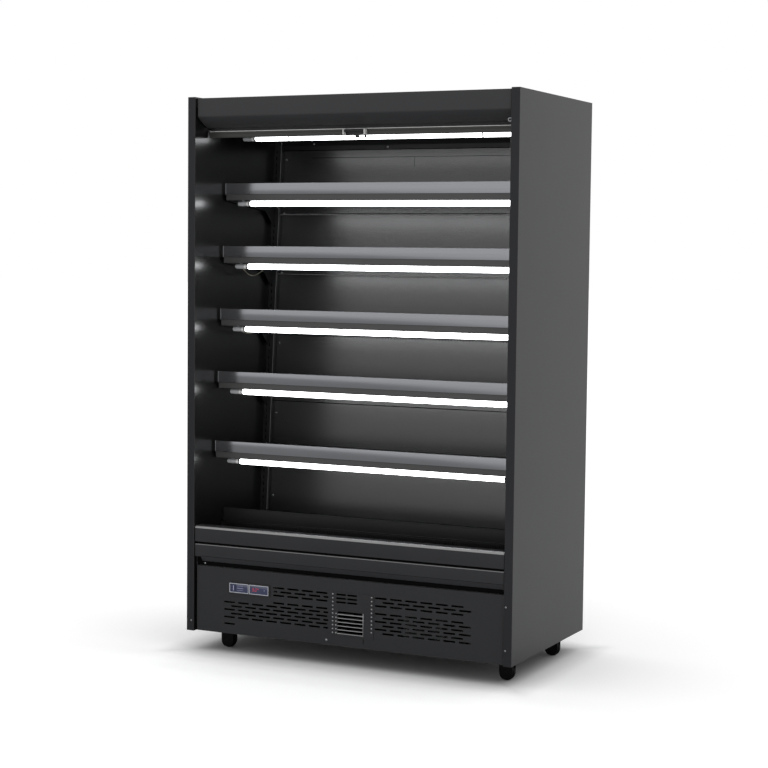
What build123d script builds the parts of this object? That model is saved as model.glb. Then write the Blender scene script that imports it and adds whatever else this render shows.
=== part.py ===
from build123d import *
import os
from math import atan, cos, pi, radians, sin, tan

os.makedirs("parts", exist_ok=True)

# Open multideck display fridge, in millimetres. The origin is on the floor under
# the middle of the cabinet: +X to the right seen from the front, +Y to the back, +Z up.

# Driving dimensions
width = 1250
depth = 690
height = 1960
underside = 70  # floor to the bottom of the cabinet
panel_t = 30  # insulated end panels
rear_t = 45
roof_t = 32
sheet = 2  # folded steel sheet

front_y = -depth / 2
back_y = depth / 2
inner_x = width / 2 - panel_t
fit_x = inner_x - 0.5  # what stands between the end panels
roof_top = height - 4  # the end panels stand a little proud of the canopy
roof_bottom = roof_top - roof_t

# The duct panel behind the shelves leans back as it rises
lean = atan(0.0712)
duct_y_at_floor = 103.8

# Shelves: height of each price rail's top edge
slot_pitch = 25  # slots in the shelf uprights
top_rail_z = 1667
rail_tops = [top_rail_z - steps * slot_pitch for steps in (0, 9, 18, 27, 37)]
shelf_depth = 372
rail_h = 40
lip_h = 62  # front edge of a shelf, price rail included
rail_t = 3
rail_x = 588
shelf_x = 586
bracket_x = 584
bracket_t = 3

# Lamps
lamp_r = 9.5
lamp_drop = 73  # below the price rail's top edge
lamp_setback = 25  # behind the price rail's face
lamp_lit_x = (-497, 531)
lamp_caps = ((-547, -497), (531, 556))
cap_hangers = ((-537, -517), (536, 550))
top_lamp_y = -90
top_lamp_z = 1828
lead_r = 2
lead_x = -541  # where each lead leaves its end cap

# Canopy and night blind
fascia_y = -335
fascia_t = 1.6
crease_z = 1892
soffit_y = -262
soffit_z = 1855
canopy_x = 590
ceiling_z = 1856
roller_y = -281
roller_z = 1895
roll_r = 27
roller_pin_r = 5
bar_x = 588
bar_y = (-262, -250)
bar_z = (1822, 1846)
handle_x = (-47, 36)

# Front below the opening
bumper_y = -342
tub_y = -325
bumper_top = 449
groove_top = 392
groove_bottom = 385
fold_z = 339
bumper_foot = 322
bumper_x = 592.5
deck_z = 445
deck_lip_y = -162
deck_lip_top = 493
deck_x = 583
grille_floor = 400
front_panel_y = -335
front_panel_x = 588
front_panel_z = (72, 305)
tub_floor = 345

# Air slots of the lower front panel
slot_l = 45
slot_w = 6.5
slot_step = 56.7
row_top = 252
row_step = 13.4
guard_x = (-50, 116)  # service grille in the middle of the panel
guard_z = (108, 260)
window_x = (-22, 75)
window_z = (113, 194)

# Controller
controller_x = -373
controller_z = 238
controller_w = 166
controller_h = 40
bezel_y = -339
key_size = 8
key_depth = 7.5

# Casters
wheel_r = 27
wheel_w = 22
caster_trail = 28
caster_x = 540
caster_front_y = -236
caster_rear_y = 190
caster_plate_z = 67

to_right = (1, 0, 0)
to_front = (0, -1, 0)
to_back = (0, 1, 0)
upward = (0, 0, 1)


def duct_y(z):
    """Y of the leaning duct panel's face at height z."""
    return duct_y_at_floor + z * tan(lean)


def rail_y(top):
    """Y of the price rail's face for a shelf whose rail ends at height top."""
    return duct_y(top) - shelf_depth


def facing(y):
    """A sketch plane at this Y, seen from the front; its extrusions come forward."""
    return Plane.XZ.offset(-y)


def across(x):
    """A sketch plane at this X with Y to the right and Z up; extrusions go to +X."""
    return Plane.YZ.offset(x)


def duct_plane(z, forward=0.0):
    """The leaning duct panel's plane through height z; its extrusions come forward."""
    return Plane(
        origin=(0, duct_y(z) - forward * cos(lean), z + forward * sin(lean)),
        x_dir=(1, 0, 0),
        z_dir=(0, -cos(lean), sin(lean)),
    )


def block(x, y, z, mode=Mode.ADD):
    """A box between the two values given for each axis, in the open part."""
    with BuildSketch(Plane.XY.offset(z[0])) as outline:
        with Locations(((x[0] + x[1]) / 2, (y[0] + y[1]) / 2)):
            Rectangle(x[1] - x[0], y[1] - y[0])
    extrude(outline.sketch, amount=z[1] - z[0], mode=mode)


def profile(points, x_half, mode=Mode.ADD):
    """A Y-Z outline run across the cabinet from -x_half to x_half."""
    with BuildSketch(across(-x_half)) as outline:
        with BuildLine():
            Polyline(*points, close=True)
        make_face()
    extrude(outline.sketch, amount=2 * x_half, mode=mode)


def rod(start, direction, radius, length, mode=Mode.ADD):
    """A round bar from the start point, in the open part."""
    with BuildSketch(Plane(origin=start, z_dir=direction)) as outline:
        Circle(radius)
    extrude(outline.sketch, amount=length, mode=mode)


def write(piece, label):
    """Labels a finished piece and writes it."""
    piece.part.label = label
    export_step(piece.part, f"parts/{label}.step")


# ---------------------------------------------------------------- cabinet

side_screws = {"left_side_panel": [(-607, 106)], "right_side_panel": [(602, 267), (602, 122)]}
screw_r = 3.5
seat_depth = 2

for side, label in ((-1, "left_side_panel"), (1, "right_side_panel")):
    with BuildPart() as side_panel:
        with BuildSketch(Plane.XY.offset(underside)):
            with Locations((side * (width - panel_t) / 2, 0)):
                Rectangle(panel_t, depth)
        extrude(amount=height - underside)
        fillet(side_panel.edges().filter_by(Axis.Z), radius=1.5)
        with BuildSketch(facing(front_y)):
            with Locations(*side_screws[label]):
                Circle(screw_r + 0.5)
        extrude(amount=-seat_depth, mode=Mode.SUBTRACT)
    write(side_panel, label)

rear_wall_y = back_y - rear_t
with BuildPart() as rear_wall:
    block((-fit_x, fit_x), (rear_wall_y, back_y), (front_panel_z[1] + 5, roof_bottom))
write(rear_wall, "rear_wall")

with BuildPart() as roof_panel:
    block((-fit_x, fit_x), (fascia_y + fascia_t, back_y), (roof_bottom, roof_top))
write(roof_panel, "roof_panel")

# Inner ceiling with the air duct above it, and the frame that holds the air outlet
honeycomb_y = (-242, -168)
honeycomb_z = (1852, 1872)
baffle_y = honeycomb_y[0] - sheet
with BuildPart() as ceiling_panel:
    ceiling_depth = (honeycomb_y[1] + sheet, duct_y(ceiling_z))
    block((-fit_x, fit_x), ceiling_depth, (ceiling_z, ceiling_z + sheet))
    block((-fit_x, fit_x), (honeycomb_y[1], honeycomb_y[1] + sheet), honeycomb_z)
    block((-fit_x, fit_x), (baffle_y, honeycomb_y[0]), (honeycomb_z[0], roof_bottom))
    for end in ((-fit_x, -shelf_x), (shelf_x, fit_x)):
        block(end, honeycomb_y, honeycomb_z)
write(ceiling_panel, "ceiling_panel")

cell_step = (18.2, 18)
cell_size = (16.2, 16)
with BuildPart() as air_honeycomb:
    with BuildSketch(Plane.XY.offset(honeycomb_z[0])):
        with Locations((0, sum(honeycomb_y) / 2)):
            Rectangle(2 * shelf_x, honeycomb_y[1] - honeycomb_y[0])
            with GridLocations(*cell_step, 64, 4):
                Rectangle(*cell_size, mode=Mode.SUBTRACT)
    extrude(amount=honeycomb_z[1] - honeycomb_z[0])
write(air_honeycomb, "air_honeycomb")

# Duct panel in sections with narrow seams, and rows of air holes under the shelves
duct_seams = [deck_z + sheet, 1566, 1803, ceiling_z]
seam_gap = 2
air_row_drop = 108
air_hole_r = 2.2
air_hole_step = 12
with BuildPart() as back_duct_panel:
    for low, high in zip(duct_seams[:-1], duct_seams[1:]):
        slope = (high - low) / cos(lean) - seam_gap
        with BuildSketch(duct_plane(low)):
            with Locations((0, slope / 2)):
                Rectangle(2 * fit_x, slope)
        extrude(amount=-sheet)
    for top in rail_tops[1:]:
        with BuildSketch(duct_plane(top - air_row_drop)):
            with GridLocations(air_hole_step, 1, 90, 1):
                Circle(air_hole_r)
        extrude(amount=-2 * sheet, mode=Mode.SUBTRACT)
write(back_duct_panel, "back_duct_panel")

upright_x = (564, 594)
upright_t = 14
upright_wall = 2
hook_drop = 70  # from a rail's top edge to its bracket's upper hook
hook_x = bracket_x - bracket_t / 2
first_slot_z = top_rail_z - hook_drop - 45 * slot_pitch
slot_rows = 54
with BuildPart() as shelf_uprights:
    slope = (ceiling_z - sheet - duct_seams[0]) / cos(lean)
    upright_w = upright_x[1] - upright_x[0]
    for side in (-1, 1):
        middle = side * sum(upright_x) / 2
        with BuildSketch(duct_plane(duct_seams[0])):
            with Locations((middle, slope / 2)):
                Rectangle(upright_w, slope)
        extrude(amount=upright_t)
        with BuildSketch(duct_plane(duct_seams[0])):
            with Locations((middle, slope / 2)):
                Rectangle(upright_w - 2 * upright_wall, slope + sheet)
        extrude(amount=upright_t - upright_wall, mode=Mode.SUBTRACT)
        slot_places = [(side * hook_x, row * slot_pitch / cos(lean)) for row in range(slot_rows)]
        with BuildSketch(duct_plane(first_slot_z, upright_t)):
            with Locations(*slot_places):
                Rectangle(4.5, 14)
        extrude(amount=-2 * upright_wall, mode=Mode.SUBTRACT)
write(shelf_uprights, "shelf_uprights")

# Canopy: upright fascia, a crease, and a gently bowed soffit up to the blind's slot
soffit_bow = (-300.2, 1869)
inner_edge = (soffit_y - fascia_t, soffit_z + 2.6)
inner_bow = (soffit_bow[0] + 0.8, soffit_bow[1] + 1.4)
inner_crease = (fascia_y + fascia_t, crease_z + 1.2)
with BuildPart() as canopy_fascia:
    with BuildSketch(across(-canopy_x)):
        with BuildLine():
            Line((fascia_y, roof_top), (fascia_y, crease_z))
            ThreePointArc((fascia_y, crease_z), soffit_bow, (soffit_y, soffit_z))
            Line((soffit_y, soffit_z), (soffit_y, soffit_z + 14))
            Line((soffit_y, soffit_z + 14), (inner_edge[0], soffit_z + 14))
            Line((inner_edge[0], soffit_z + 14), inner_edge)
            ThreePointArc(inner_edge, inner_bow, inner_crease)
            Line(inner_crease, (inner_crease[0], roof_top))
            Line((inner_crease[0], roof_top), (fascia_y, roof_top))
        make_face()
    extrude(amount=2 * canopy_x)
    for start in (-canopy_x, canopy_x - 3):
        with BuildSketch(across(start)):
            with BuildLine():
                ThreePointArc(inner_crease, inner_bow, inner_edge)
                Line(inner_edge, (baffle_y - 1, inner_edge[1]))
                Line((baffle_y - 1, inner_edge[1]), (baffle_y - 1, roof_bottom))
                Line((baffle_y - 1, roof_bottom), (inner_crease[0], roof_bottom))
                Line((inner_crease[0], roof_bottom), inner_crease)
            make_face()
            with Locations((roller_y, roller_z)):
                Circle(roller_pin_r + 0.4, mode=Mode.SUBTRACT)
        extrude(amount=3)
write(canopy_fascia, "canopy_fascia")

# Base sheet with corner posts that carry the insulated tub
post = 40
with BuildPart() as base_chassis:
    block((-fit_x, fit_x), (tub_y, rear_wall_y), (underside, underside + 3))
    for x in (-fit_x, fit_x - post):
        for y in (tub_y, rear_wall_y - post):
            block((x, x + post), (y, y + post), (underside + 3, front_panel_z[1]))
write(base_chassis, "base_chassis")

with BuildPart() as well_tub:
    profile(
        [
            (tub_y, front_panel_z[1]),
            (rear_wall_y - 0.5, front_panel_z[1]),
            (rear_wall_y - 0.5, tub_floor),
            (tub_y + 25, tub_floor),
            (tub_y + 25, bumper_top - 3),
            (tub_y, bumper_top - 3),
        ],
        fit_x,
    )
write(well_tub, "well_tub")

with BuildPart() as deck_tray:
    deck_back = duct_y(deck_z) - 2
    profile(
        [
            (deck_back, deck_z - sheet),
            (deck_lip_y - 2, deck_z - sheet),
            (deck_lip_y - 2, deck_z + 3),
            (deck_lip_y, deck_z + 3),
            (deck_lip_y, deck_lip_top - 3),
            (deck_lip_y - 2, deck_lip_top - 3),
            (deck_lip_y - 2, deck_lip_top),
            (deck_lip_y + sheet, deck_lip_top),
            (deck_lip_y + sheet, deck_z),
            (deck_back, deck_z),
        ],
        deck_x,
    )
write(deck_tray, "deck_tray")

# Return air grille: a floor strip and a riser with upright slots under the deck's lip
riser_z = (grille_floor, deck_z - sheet)
return_slot = (3.5, 34)
return_pitch = 7
with BuildPart() as return_air_grille:
    block((-fit_x, fit_x), (tub_y + 26, deck_lip_y), (grille_floor - sheet, grille_floor))
    block((-fit_x, fit_x), (deck_lip_y - sheet, deck_lip_y), riser_z)
    with BuildSketch(facing(deck_lip_y)):
        with Locations((0, sum(riser_z) / 2)):
            with GridLocations(return_pitch, 1, 165, 1):
                Rectangle(*return_slot)
    extrude(amount=sheet, mode=Mode.SUBTRACT)
write(return_air_grille, "return_air_grille")

with BuildPart() as bumper_upper:
    profile(
        [
            (bumper_y, groove_top),
            (bumper_y, bumper_top - 6),
            (bumper_y + 6, bumper_top),
            (tub_y + 25, bumper_top),
            (tub_y + 25, bumper_top - 3),
            (tub_y, bumper_top - 3),
            (tub_y, groove_top),
        ],
        bumper_x,
    )
write(bumper_upper, "bumper_upper")

with BuildPart() as bumper_lower:
    profile(
        [
            (bumper_y, fold_z),
            (bumper_y, groove_bottom - 4),
            (bumper_y + 4, groove_bottom),
            (tub_y, groove_bottom),
            (tub_y, bumper_foot),
            (bumper_y + 11, bumper_foot),
        ],
        bumper_x,
    )
    block((-bumper_x, -568), (bumper_y, tub_y), (bumper_foot, fold_z), mode=Mode.SUBTRACT)
write(bumper_lower, "bumper_lower")

# ---------------------------------------------------------------- lower front


def air_slots():
    """Centres of the slots in the lower front panel: staggered rows, clear of the
    controller and of the service grille."""
    centres = []
    for row in (0, 1, 2, 4, 5, 6, 7, 8, 9):
        count = 16 if row % 2 == 0 else 17
        for i in range(count):
            x = (i - (count - 1) / 2) * slot_step
            behind_guard = guard_x[0] - 12.5 < x + slot_l / 2 and x - slot_l / 2 < guard_x[1] + 2
            beside_controller = row < 5 and x < controller_x + controller_w / 2 + slot_l / 2
            if not behind_guard and not beside_controller:
                centres.append((x, row_top - row * row_step))
    return centres


window_w = window_x[1] - window_x[0]
window_h = window_z[1] - window_z[0]
window_mid = (sum(window_x) / 2, sum(window_z) / 2)
guard_slots = [(x, row_top - row * row_step) for row in (0, 1, 2) for x in (-9, 33)]
short_slots = [(-69, row_top - row * row_step) for row in (1, 5, 7, 9)]
with BuildPart() as lower_front_panel:
    x_range = (-front_panel_x, front_panel_x)
    block(x_range, (front_panel_y, front_panel_y + sheet), front_panel_z)
    for z in (front_panel_z[0], front_panel_z[1] - sheet):
        block(x_range, (front_panel_y + sheet, tub_y - 1), (z, z + sheet))
    with BuildSketch(facing(front_panel_y + sheet)):
        with Locations(*air_slots(), (-453.6, 107.5)):
            SlotOverall(slot_l, slot_w)
        with Locations((-268.5, row_top - row_step)):
            SlotOverall(15, slot_w)
        with Locations(*short_slots):
            SlotOverall(20, slot_w)
        with Locations(*guard_slots):
            SlotOverall(38, slot_w)
        with Locations((controller_x, controller_z)):
            Rectangle(controller_w - 12, controller_h - 7)
        with Locations(window_mid):
            Rectangle(window_w, window_h)
    extrude(amount=sheet, mode=Mode.SUBTRACT)
write(lower_front_panel, "lower_front_panel")

slat_count = 6
slat_step = 13.4
slat_angle = 35
rivet_r = 3
with BuildPart() as service_grille:
    block(guard_x, (front_panel_y - sheet, front_panel_y), guard_z)
    with BuildSketch(facing(front_panel_y)):
        with Locations(window_mid):
            Rectangle(window_w, window_h)
        with Locations(*guard_slots):
            SlotOverall(38, slot_w)
    extrude(amount=sheet, mode=Mode.SUBTRACT)
    for i in range(slat_count):
        slat_z = window_z[0] + 5 + i * slat_step
        with BuildSketch(across(window_x[0])):
            with Locations(Location((front_panel_y, slat_z, 0), (0, 0, slat_angle))):
                Rectangle(8, 1.8)
        extrude(amount=window_w)
    block((window_x[1], window_x[1] + 3), (front_panel_y - 4, front_panel_y), window_z)
    for x, rivets in ((-41, 11), (108, 10)):
        with BuildSketch(facing(front_panel_y - sheet)):
            with Locations((x, row_top - (rivets - 1) / 2 * row_step)):
                with GridLocations(1, row_step, 1, rivets):
                    Circle(rivet_r)
        extrude(amount=1.6, taper=35)
write(service_grille, "service_grille")

rear_grille_y = back_y - 8
gland_x = -480
gland_z = 130
gland_r = 9
with BuildPart() as rear_grille:
    x_range = (-front_panel_x, front_panel_x)
    block(x_range, (rear_grille_y, rear_grille_y + sheet), (76, front_panel_z[1]))
    with BuildSketch(facing(rear_grille_y + sheet)):
        for x in (-240, 240):
            with Locations((x, 190)):
                with GridLocations(60, 18, 6, 8):
                    SlotOverall(50, 7)
        with Locations((gland_x, gland_z)):
            Circle(gland_r)
    extrude(amount=sheet, mode=Mode.SUBTRACT)
    for z in (76, front_panel_z[1] - sheet):
        block(x_range, (rear_wall_y, rear_grille_y), (z, z + sheet))
write(rear_grille, "rear_grille")

cable_r = 4.5
with BuildPart() as mains_gland:
    rod((gland_x, rear_grille_y - 10, gland_z), to_back, gland_r - 0.2, 12)
    rod((gland_x, rear_grille_y + sheet, gland_z), to_back, 13, 5)
    rod((gland_x, rear_grille_y - 10, gland_z), to_back, cable_r, 17, Mode.SUBTRACT)
write(mains_gland, "mains_gland")

# ---------------------------------------------------------------- controller

housing_back = -275
module_size = (75, 31)
module_x = (controller_x - 40, controller_x + 40)
key_columns = (module_x[0] - 29, module_x[0] - 17)
key_centres = [(x, controller_z + dz) for x in key_columns for dz in (6, -6)]
lens_depth = 2
key_pocket = key_depth + 2
with BuildPart() as controller_housing:
    with BuildSketch(facing(front_panel_y)):
        with Locations((controller_x, controller_z)):
            RectangleRounded(controller_w, controller_h, 2)
    extrude(amount=front_panel_y - bezel_y)
    with BuildSketch(facing(housing_back)):
        with Locations((controller_x, controller_z)):
            Rectangle(controller_w - 14, controller_h - 9)
    extrude(amount=housing_back - front_panel_y)
    with BuildSketch(facing(bezel_y + lens_depth)):
        for x in module_x:
            with Locations((x, controller_z)):
                Rectangle(*module_size)
    extrude(amount=lens_depth, mode=Mode.SUBTRACT)
    with BuildSketch(facing(bezel_y + key_pocket)):
        with Locations(*key_centres):
            Rectangle(key_size + 1, key_size + 1)
    extrude(amount=key_pocket, mode=Mode.SUBTRACT)
write(controller_housing, "controller_housing")

with BuildPart() as display_lenses:
    with BuildSketch(facing(bezel_y + lens_depth)):
        with Locations((module_x[1], controller_z)):
            Rectangle(module_size[0] - 1, module_size[1] - 1)
        with Locations((module_x[0] + 13, controller_z)):
            Rectangle(module_size[0] - 27, module_size[1] - 1)
    extrude(amount=lens_depth - 0.5)
write(display_lenses, "display_lenses")

for number, (x, z) in enumerate(key_centres, start=1):
    with BuildPart() as control_key:
        with BuildSketch(facing(bezel_y + key_depth - 1)):
            with Locations((x, z)):
                RectangleRounded(key_size, key_size, 1)
        extrude(amount=key_depth)
        fillet(control_key.faces().sort_by(Axis.Y)[0].edges(), radius=0.5)
    write(control_key, f"control_key_{number}")

# ---------------------------------------------------------------- shelves

for number, top in enumerate(rail_tops, start=1):
    face_y = rail_y(top) + rail_t
    plate_top = top - rail_h
    plate_back = duct_y(plate_top) - 1.5
    with BuildPart() as shelf:
        profile(
            [
                (face_y, top - lip_h),
                (face_y, top - 1),
                (face_y + sheet, top - 1),
                (face_y + sheet, plate_top),
                (plate_back, plate_top),
                (plate_back, plate_top - sheet),
                (face_y + sheet, plate_top - sheet),
                (face_y + sheet, top - lip_h + sheet),
                (face_y + 8, top - lip_h + sheet),
                (face_y + 8, top - lip_h),
            ],
            shelf_x,
        )
        for notch in ((-shelf_x - 1, 1 - upright_x[0]), (upright_x[0] - 1, shelf_x + 1)):
            y_range = (plate_back - upright_t - 1, plate_back + 1)
            block(notch, y_range, (plate_top - sheet, plate_top), mode=Mode.SUBTRACT)
    write(shelf, f"shelf_{number}")

with BuildPart() as price_rails:
    for top in rail_tops:
        y = rail_y(top)
        z_range = (top - rail_h, top)
        block((-rail_x, rail_x), (y, y + rail_t), z_range)
        for end in ((-rail_x, 2 - rail_x), (rail_x - 2, rail_x)):
            block(end, (y - 1, y), z_range)
write(price_rails, "price_rails")

bracket_outline = [(14.4, 42), (14.4, 145), (22, 145), (85, 92), (345, 64), (345, 42)]
hook_size = (7, 10)
with BuildPart() as shelf_brackets:
    for top in rail_tops:
        corners = [(duct_y(top - drop) - out, top - drop) for out, drop in bracket_outline]
        for x in (-bracket_x, bracket_x - bracket_t):
            with BuildSketch(across(x)):
                with BuildLine():
                    Polyline(*corners, close=True)
                make_face()
                for drop in (hook_drop, hook_drop + 2 * slot_pitch):
                    with Locations((duct_y(top - drop) - 11.5, top - drop)):
                        Rectangle(*hook_size)
            extrude(amount=bracket_t)
write(shelf_brackets, "shelf_brackets")

# ---------------------------------------------------------------- lamps

# Y and Z of each lamp's axis, and the height of the sheet it hangs from
lamp_places = [(rail_y(top) + lamp_setback, top - lamp_drop, top - rail_h - sheet) for top in rail_tops]
top_lamp_place = (top_lamp_y, top_lamp_z, ceiling_z)

with BuildPart() as shelf_lamp_tubes:
    for y, z, held_at in lamp_places:
        rod((lamp_lit_x[0], y, z), to_right, lamp_r, lamp_lit_x[1] - lamp_lit_x[0])
write(shelf_lamp_tubes, "shelf_lamp_tubes")

with BuildPart() as top_lamp_tube:
    rod((lamp_lit_x[0], top_lamp_y, top_lamp_z), to_right, lamp_r, lamp_lit_x[1] - lamp_lit_x[0])
write(top_lamp_tube, "top_lamp_tube")

exit_length = 12  # the lead's sleeve behind the lamp's axis
exit_drop = 5
with BuildPart() as lamp_end_caps:
    for y, z, held_at in lamp_places + [top_lamp_place]:
        for (start, end), hanger_x in zip(lamp_caps, cap_hangers):
            rod((start, y, z), to_right, lamp_r - 0.8, end - start)
            block(hanger_x, (y - 2, y + 2), (z + lamp_r - 3, held_at))
        rod((lead_x, y, z - exit_drop), to_back, 3.5, exit_length)
write(lamp_end_caps, "lamp_end_caps")


def route_radii(points):
    """Arc radii at a route's corners: 0.45 of the shorter run over the tangent of
    half the turn."""
    radii = []
    for a, b, c in zip(points[:-2], points[1:-1], points[2:]):
        before = Vector(*b) - Vector(*a)
        after = Vector(*c) - Vector(*b)
        half_turn = radians(before.get_angle(after)) / 2
        radii.append(0.45 * min(before.length, after.length) / tan(half_turn))
    return radii


def tube(points, radii, radius):
    """A round tube along straight runs and tangent arcs, in the open part."""
    with BuildLine() as path:
        FilletPolyline(*points, radius=radii)
    heading = Vector(*points[1]) - Vector(*points[0])
    with BuildSketch(Plane(origin=points[0], z_dir=heading)) as section:
        Circle(radius)
    spine = path.wires()[0]
    sweep(section.sketch, path=spine)
    return spine.length


def lead_exit(place):
    """Where a lamp's lead comes out of its sleeve."""
    y, z, held_at = place
    return (lead_x, y + exit_length, z - exit_drop)


# Two leads hang in a loop from the left lamp ends to the underside of their shelves
loop_2 = [
    lead_exit(lamp_places[1]),
    (lead_x, -108, 1364),
    (-546, -74, 1349),
    (-552, -35, 1335.5),
    (-557, 5, 1334),
    (-560, 43, 1340.5),
    (-560, 74, 1352.5),
    (-560, 95, 1375),
    (-560, 95, lamp_places[1][2]),
]
loop_3 = [
    lead_exit(lamp_places[2]),
    (lead_x, -124, 1139),
    (-546, -90, 1130),
    (-552, -50, 1123.5),
    (-557, -10, 1122),
    (-559, 28, 1127),
    (-560, 58, 1137),
    (-560, 78, 1154),
    (-560, 78, lamp_places[2][2]),
]
for label, route in (("lamp_lead_2", loop_2), ("lamp_lead_3", loop_3)):
    with BuildPart() as lamp_lead:
        length = tube(route, route_radii(route), lead_r)
    volume_ratio = lamp_lead.part.volume / (pi * lead_r**2 * length)
    print(label, "length", round(length, 1), "volume ratio", round(volume_ratio, 4))
    print(label, "radii", [round(r, 1) for r in route_radii(route)])
    write(lamp_lead, label)

# The other leads are clipped along the underside of their shelves to the duct panel
clip_drop = 8
with BuildPart() as lamp_leads_clipped:
    for y, z, held_at in (lamp_places[0], lamp_places[3], lamp_places[4]):
        exit_y = y + exit_length
        run_z = held_at - clip_drop
        route = [
            (lead_x, exit_y, z - exit_drop),
            (lead_x, exit_y + 30, z - exit_drop),
            (lead_x, exit_y + 70, run_z),
            (lead_x, duct_y(run_z) - 1, run_z),
        ]
        tube(route, route_radii(route), lead_r)
        for along in (110, 230):
            block((lead_x - 5, lead_x + 5), (y + along - 4, y + along + 4), (run_z, held_at))
    exit_y = top_lamp_y + exit_length
    route = [
        (lead_x, exit_y, top_lamp_z - exit_drop),
        (lead_x, exit_y + 30, top_lamp_z - exit_drop),
        (lead_x, exit_y + 48, ceiling_z - 1.5),
    ]
    tube(route, route_radii(route), lead_r)
write(lamp_leads_clipped, "lamp_leads_clipped")

# ---------------------------------------------------------------- night blind

roll_x = 578
with BuildPart() as blind_roller:
    rod((-roll_x, roller_y, roller_z), to_right, roll_r, 2 * roll_x)
    rod((0.5 - canopy_x, roller_y, roller_z), to_right, roller_pin_r, 2 * canopy_x - 1)
write(blind_roller, "blind_roller")

fabric_x = 570
fabric_y = roller_y + roll_r + 0.4
fabric_t = 1
with BuildPart() as blind_fabric:
    block((-fabric_x, fabric_x), (fabric_y, fabric_y + fabric_t), (bar_z[1], roller_z))
write(blind_fabric, "blind_fabric")

bar_wall = 2
bar_size = (bar_y[1] - bar_y[0], bar_z[1] - bar_z[0])
with BuildPart() as blind_bar:
    with BuildSketch(across(-bar_x)):
        with Locations((sum(bar_y) / 2, sum(bar_z) / 2)):
            RectangleRounded(*bar_size, 2)
            Rectangle(bar_size[0] - 2 * bar_wall, bar_size[1] - 2 * bar_wall, mode=Mode.SUBTRACT)
    extrude(amount=2 * bar_x)
    for start in (-bar_x, bar_x - 3):
        plug_y = (bar_y[0] + 1, bar_y[1] - 1)
        block((start, start + 3), plug_y, (bar_z[0] + 1, bar_z[1] - 1))
write(blind_bar, "blind_bar")

handle_out = 21
ear_t = 3
grip_r = 3.5
catch_drop = 9
with BuildPart() as blind_handle:
    face = bar_y[0]
    block(handle_x, (face - 3, face), (bar_z[0], bar_z[1] - 3))
    for start in (handle_x[0], handle_x[1] - ear_t):
        with BuildSketch(Plane.XY.offset(bar_z[0] + 1)):
            with Locations((start + ear_t / 2, face - handle_out / 2)):
                RectangleRounded(ear_t, handle_out, 1.4)
        extrude(amount=18)
    grip_at = (handle_x[0] + 1, face - handle_out + 4.5, bar_z[0] + 14)
    rod(grip_at, to_right, grip_r, handle_x[1] - handle_x[0] - 2)
    for x_range in ((-8, 9), (27, 35)):
        block(x_range, (face - 3, face), (bar_z[0] - catch_drop, bar_z[0]))
write(blind_handle, "blind_handle")

# ---------------------------------------------------------------- casters

caster_places = {
    "front_left": (-caster_x, caster_front_y),
    "front_right": (caster_x, caster_front_y),
    "rear_left": (-caster_x, caster_rear_y),
    "rear_right": (caster_x, caster_rear_y),
}
king_pin_r = 6
with BuildPart() as caster_plates:
    for x, y in caster_places.values():
        block((x - 30, x + 30), (y - 30, y + 30), (caster_plate_z, underside))
        rod((x, y, 62), upward, king_pin_r, caster_plate_z - 62)
        for dx in (-22, 22):
            for dy in (-22, 22):
                rod((x + dx, y + dy, caster_plate_z - 3), upward, 4, 3)
write(caster_plates, "caster_plates")

fork_gap = 26
leg_t = 2.5
fork_half = fork_gap / 2 + leg_t
hood_r = 24  # the legs hood the wheel down to its lower edge
axle_r = 4
running_gap = 0.05
for name, (x, y) in caster_places.items():
    axle_x = x + caster_trail
    with BuildPart() as caster_fork:
        rod((x, y, 60), upward, 20, 6.6)
        with BuildSketch(Plane.XY.offset(58)):
            with Locations((x + 17, y)):
                RectangleRounded(70, 2 * fork_half, 2)
        extrude(amount=3)
        rod((x, y, 61), upward, king_pin_r + running_gap, 6, Mode.SUBTRACT)
        for leg_y in (y - fork_half, y + fork_half - leg_t):
            with BuildSketch(facing(leg_y + leg_t)):
                with BuildLine():
                    Line((axle_x - hood_r, 60), (axle_x + hood_r, 60))
                    Line((axle_x + hood_r, 60), (axle_x + hood_r, wheel_r))
                    ThreePointArc(
                        (axle_x + hood_r, wheel_r), (axle_x, wheel_r - hood_r), (axle_x - hood_r, wheel_r)
                    )
                    Line((axle_x - hood_r, wheel_r), (axle_x - hood_r, 60))
                make_face()
            extrude(amount=leg_t)
        rod((axle_x, y + fork_half + 1.5, wheel_r), to_front, axle_r, 2 * fork_half + 3)
    write(caster_fork, f"caster_fork_{name}")
    with BuildPart() as caster_wheel:
        rod((axle_x, y + wheel_w / 2, wheel_r), to_front, wheel_r, wheel_w)
        fillet(caster_wheel.edges().filter_by(GeomType.CIRCLE), radius=4)
        rod((axle_x, y + wheel_w / 2 + 1, wheel_r), to_front, 9, wheel_w + 2)
        bore_r = axle_r + running_gap
        rod((axle_x, y + wheel_w / 2 + 2, wheel_r), to_front, bore_r, wheel_w + 4, Mode.SUBTRACT)
    write(caster_wheel, f"caster_wheel_{name}")

# ---------------------------------------------------------------- refrigeration

floor_z = underside + 3
compressor_at = (330, 40)
shell_r = 82
shell_z = (floor_z + 45, floor_z + 175)
with BuildPart() as compressor:
    rod((*compressor_at, shell_z[0]), upward, shell_r, shell_z[1] - shell_z[0])
    fillet(compressor.edges().filter_by(GeomType.CIRCLE), radius=40)
    for dx in (-70, 70):
        x = compressor_at[0] + dx
        foot_y = (compressor_at[1] - 90, compressor_at[1] + 90)
        block((x - 18, x + 18), foot_y, (floor_z + 12, floor_z + 60))
        for dy in (-75, 75):
            rod((x, compressor_at[1] + dy, floor_z), upward, 12, 12)
    terminal_x = (compressor_at[0] - 30, compressor_at[0] + 30)
    block(terminal_x, (compressor_at[1] - 100, compressor_at[1] - 60), (150, 210))
write(compressor, "compressor")

coil_plate = 3
bend_out = 14
bend_h = 10


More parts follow.
